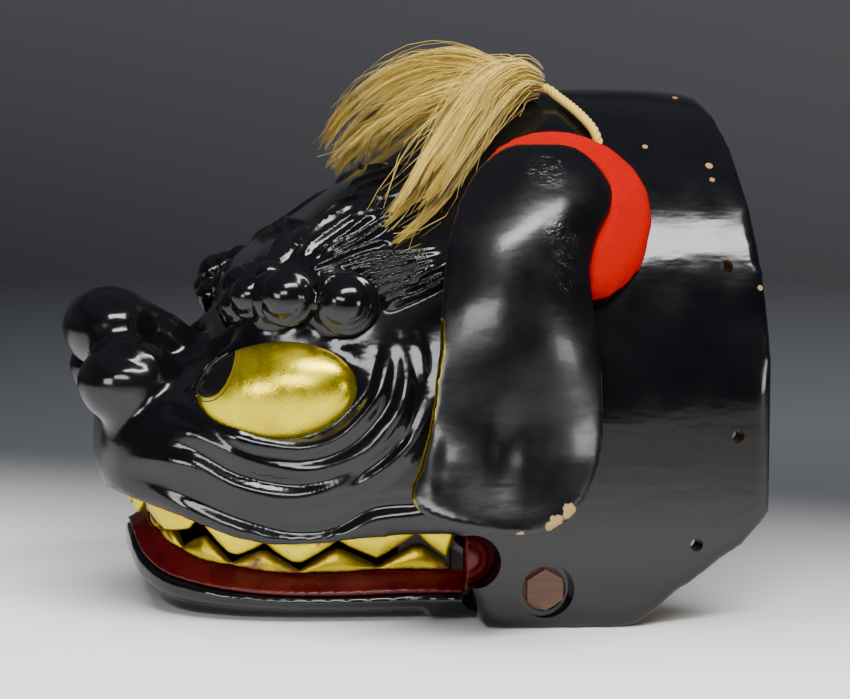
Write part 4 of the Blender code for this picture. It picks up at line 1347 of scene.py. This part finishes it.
def makeJaw():
    path = mouthPath()
    bm = bandAlong(path, [jawCorners(s) for s in path])
    ends = [spotAt(path, path[-1].run * 0.985 * k / 20) for k in range(-20, 21)]
    joinInto(bm, extruded([across(s, s.jaw + max(13.0, 15.5 + 0.18 * (s.edge - 20)), jaw["lift"])
                           for s in ends], (0, 0, jaw["floor"])))
    x, z = hinge
    turn = [math.radians(a) for a in range(-90, 91, 10)]
    size = jaw["armEnd"]
    roundEnd = [(x + size * math.cos(a), z + size * math.sin(a)) for a in turn]
    outline = [(6, 13), (6, 3), (30, 3)] + roundEnd + [(40, 32), (29.5, 13)]
    for side in (1, -1):
        joinInto(bm, sideSlab(outline, jaw["arm"], side))
    piece = softened("carvedJaw", bm, jaw["voxel"], 3, black)
    cutWith(piece, makeObject("bore", barBetween((x, -130, z), (x, 130, z), jaw["bore"], 48)))
    piece.data.shade_smooth()
    finishPiece(piece, "jaw", ["jaw"])


print("mouth and jaw")
makeMouth()
makeJaw()


# Hemp: pale bast fibre, combed locks with darker and greener strands
def hempMaterial():
    material, tree, shader = newMaterial("combedHemp")
    tone = addNode(tree, "ShaderNodeAttribute", {"attribute_name": "tone"}, "Fac")
    ramp = addNode(tree, "ShaderNodeValToRGB", {"Fac": tone})
    stops = ramp.node.color_ramp.elements
    stops[0].color = linearColour("#66500e")
    stops[1].color = linearColour("#fbe684")
    stops.new(0.5).color = linearColour("#dcb840")
    setSockets(shader, {"Base Color": ramp, "Roughness": 0.45, "Sheen Weight": 0.3})
    return material


hemp = hempMaterial()
tufts = {
    # paths of the locks: x, y, z, radius
    "left": [[(88, -30, 299, 5), (72, -36, 301, 10), (52, -49, 291, 13), (34, -65, 272, 14),
              (18, -80, 252, 14), (2, -95, 233, 13), (-18, -106, 216, 11)],
             [(88, -26, 298, 5), (66, -30, 297, 9), (48, -42, 285, 11), (34, -56, 268, 11),
              (20, -68, 253, 9)]],
    "right": [[(88, 30, 299, 5), (66, 40, 308, 10), (42, 54, 308, 11), (16, 68, 297, 11),
               (-5, 80, 277, 11), (-20, 88, 254, 10)],
              [(88, 26, 298, 5), (62, 36, 300, 9), (38, 50, 292, 9), (12, 64, 275, 9),
               (-8, 74, 257, 8), (-17, 80, 246, 6)],
              [(70, 20, 298, 4), (50, 30, 294, 6), (28, 42, 282, 7), (8, 54, 266, 7),
               (-4, 62, 250, 5)]],
    "strands": 2250, "clumps": 20, "strays": 0.12, "thick": 0.22, "steps": 11, "gather": 0.72,
    # ranges for clumps and strands, and for strays
    "clumpEnd": (0.74, 1.0), "clumpSwing": (1.2, 3.4), "clumpTone": 0.1, "tone": (0.5, 0.17),
    "begin": (0, 0.05), "end": (0.84, 1.0), "strayEnd": (0.6, 1.08), "swing": (0.3, 1.2),
    "straySwing": 8.5, "spread": 0.42, "straySpread": 0.9,
}


def addStrand(bm, layer, points, tone):
    # three-sided fibre that tapers to its end
    before = None
    last = len(points) - 1
    for s, p in enumerate(points):
        run = (points[min(s + 1, last)] - points[max(s - 1, 0)]).normalized()
        u = run.orthogonal().normalized()
        v = run.cross(u)
        thick = tufts["thick"] * (1 - 0.5 * s / tufts["steps"])
        ring = []
        for c in range(3):
            q = p + (u * math.cos(c * 2.094) + v * math.sin(c * 2.094)) * thick
            vert = bm.verts.new(q * mm)
            vert[layer] = tone
            ring.append(vert)
        if before:
            for c in range(3):
                bm.faces.new((before[c], before[(c + 1) % 3], ring[(c + 1) % 3], ring[c]))
        else:
            bm.faces.new(reversed(ring))
        before = ring
    bm.faces.new(before)


def makeTuft(name, node, locks, seed):
    chance = random.Random(seed)
    bm = bmesh.new()
    layer = bm.verts.layers.float.new("tone")
    for lock in locks:
        guide = curveThrough(lock, 8)
        last = len(guide) - 1
        frames = framesAlong(guide)
        clumps = []
        for c in range(tufts["clumps"]):
            angle = c * 2.4
            reach = math.sqrt((c + 0.5) / tufts["clumps"])
            clumps.append({"side": Vector((math.cos(angle), math.sin(angle))) * reach * 0.92,
                           "end": chance.uniform(*tufts["clumpEnd"]),
                           "turn": chance.uniform(0, 6.28),
                           "tone": chance.gauss(0, tufts["clumpTone"]),
                           "swing": chance.uniform(*tufts["clumpSwing"])})
        count = tufts["strands"] // len(locks)
        for k in range(count):
            stray = k < tufts["strays"] * count
            clump = chance.choice(clumps)
            angle = chance.uniform(0, 2 * math.pi)
            own = math.sqrt(chance.random()) * tufts["straySpread" if stray else "spread"]
            spot = Vector((math.cos(angle), math.sin(angle))) * own
            begin = chance.uniform(*tufts["begin"])
            end = min(clump["end"] * chance.uniform(*tufts["strayEnd" if stray else "end"]), 1.0)
            wave = chance.uniform(0, 6.28)
            swing = chance.uniform(*tufts["swing"]) * (tufts["straySwing"] if stray else 1.0)
            tone = min(max(chance.gauss(*tufts["tone"]) + clump["tone"], 0), 1)
            points = []
            for s in range(tufts["steps"] + 1):
                share = s / tufts["steps"]
                t = begin + (end - begin) * share
                f = t * last
                i = min(int(f), last - 1)
                here = guide[i].lerp(guide[i + 1], f - i)
                a, b = frames[i]
                r = here[3]
                pull = 1 - (0 if stray else tufts["gather"] * smoothStep(0.35, 1.0, share))
                offset = clump["side"] * r + spot * r * pull
                offset.x += math.sin(clump["turn"] + t * 7) * clump["swing"] * t
                offset.y += math.cos(clump["turn"] * 1.3 + t * 6) * clump["swing"] * t
                offset.x += math.sin(wave + t * 10) * swing * t
                offset.y += math.cos(wave * 1.7 + t * 8) * swing * t
                points.append(Vector(here[:3]) + a * offset.x + b * offset.y)
            addStrand(bm, layer, points, tone)
    bmesh.ops.recalc_face_normals(bm, faces=bm.faces)
    return finishPiece(makeObject(name, bm, hemp), "head", [node])


print("tufts")
makeTuft("tuftLeft", "tuft_left", tufts["left"], 3)
makeTuft("tuftRight", "tuft_right", tufts["right"], 8)


# Twisted hemp cords from the tufts to the forehead
cord = {
    "radius": 2.8, "pitch": 11.0,
    "route": [(84.7, 30.4, 298.3), (92, 34, 296.2), (97, 40, 291.5), (100, 49, 287.5),
              (103, 58, 283), (106, 66, 278), (108.5, 72, 273), (110, 75.5, 267.5),
              (110.5, 76.5, 262)],
}


def makeCord(side, name, node):
    path = curveThrough([(x, y * -side, z) for x, y, z in cord["route"]], 12)
    last = len(path) - 1
    bm = bmesh.new()
    travelled = [0.0]
    for a, b in zip(path, path[1:]):
        travelled.append(travelled[-1] + (b - a).length)
    up = Vector((0, 0, 1))
    for strand in range(3):
        helix = []
        for i, p in enumerate(path):
            run = (path[min(i + 1, last)] - path[max(i - 1, 0)]).normalized()
            u = (up - run * up.dot(run)).normalized()
            v = run.cross(u)
            angle = travelled[i] / cord["pitch"] * 2 * math.pi + strand * 2.094
            reach = u * math.cos(angle) + v * math.sin(angle)
            helix.append(p + reach * cord["radius"] * 0.46)
        joinInto(bm, tubeAlong(helix, [cord["radius"] * 0.54] * len(helix), 10))
    piece = makeObject(name, bm, hemp)
    storeValues(piece, "tone", [0.5] * len(piece.data.vertices))
    finishPiece(piece, "head", [node])


print("cords")
makeCord(1, "tuftCordLeft", "tuft_cord_left")
makeCord(-1, "tuftCordRight", "tuft_cord_right")


# Red cloth pads behind the ears: plain weave cotton over padding
def clothMaterial():
    material, tree, shader = newMaterial("redCottonPlainWeave")
    place = addNode(tree, "ShaderNodeTexCoord", output="Object")
    # threads 0.9 mm apart, drawn coarser than the real 0.4 mm so that they show
    waves = [addNode(tree, "ShaderNodeTexWave", {
        "bands_direction": run, "Vector": place, "Scale": 350.0, "Distortion": 0.4,
        "Detail Scale": 2.0}, "Fac") for run in ("X", "Z")]
    weave = addNode(tree, "ShaderNodeMath", {"operation": "MULTIPLY", 0: waves[0], 1: waves[1]})
    cloud = addNode(tree, "ShaderNodeTexNoise", {"Vector": place, "Scale": 30.0, "Detail": 4.0})
    tone = addNode(tree, "ShaderNodeMix", {
        "data_type": "RGBA", 0: cloud, 6: "#a60000", 7: "#be0200"}, 2)
    shade = addNode(tree, "ShaderNodeMix", {
        "data_type": "RGBA", 0: weave, 6: tone, 7: "#820000"}, 2)
    bump = addNode(tree, "ShaderNodeBump", {"Height": weave, "Strength": 0.5, "Distance": 0.0004})
    setSockets(shader, {"Base Color": shade, "Roughness": 0.85, "Specular IOR Level": 0.05,
                        "Normal": bump})
    return material


pads = {
    "voxel": 0.004, "pressure": 4.0, "frames": 20, "cap": 0.0025, "inset": 0.0012,
    "fill": 0.35, "droop": 0.007, "droopFrom": 0.235, "droopOver": 0.05,
}


def droopPad(bm):
    bm.normal_update()
    low = pads["droopFrom"]
    for vert in bm.verts:
        vert.co -= vert.normal * pads["inset"]
        # the lower end hangs below the ear
        vert.co.z -= pads["droop"] * smoothStep(low, low - pads["droopOver"], vert.co.z)


def swellPad(piece):
    # cloth under a little pressure, moved by no more than the cap
    start = [v.co.copy() for v in piece.data.vertices]
    cloth = piece.modifiers.new("cloth", "CLOTH")
    cloth.settings.use_pressure = True
    cloth.settings.uniform_pressure_force = pads["pressure"]
    cloth.settings.effector_weights.gravity = 0.0
    cloth.point_cache.frame_end = pads["frames"]
    scene = bpy.context.scene
    for frameNumber in range(1, pads["frames"] + 1):
        scene.frame_set(frameNumber)
    seen = piece.evaluated_get(bpy.context.evaluated_depsgraph_get())
    moved = [v.co.copy() for v in seen.data.vertices]
    piece.modifiers.clear()
    scene.frame_set(1)
    for vert, a, b in zip(piece.data.vertices, start, moved):
        step = b - a
        vert.co = a + step * min(1.0, pads["cap"] / max(step.length, 1e-9))


def makePad(name, node, finish):
    source = next(o for o in bpy.data.objects if o.name == node or o.name.startswith(node + "."))
    bm = meshOf(source)
    bmesh.ops.remove_doubles(bm, verts=bm.verts, dist=1e-5)
    piece = makeObject(name, bm)
    remeshed(piece, pads["voxel"], 2, droopPad)
    swellPad(piece)
    bake(piece, "SUBSURF", levels=1, render_levels=1)
    giveMaterials(piece, finish)
    finishPiece(piece, "head", [node])


print("pads")
cloth = clothMaterial()
makePad("earPadLeft", "ear_pad_left", cloth)
makePad("earPadRight", "ear_pad_right", cloth)


# The axle and the pegs keep their solids
for piece in bpy.data.objects:
    if piece.name in ("jaw_axle", "ear_peg_left", "ear_peg_right"):
        piece.data.materials.clear()
        piece.data.materials.append(axleWood)
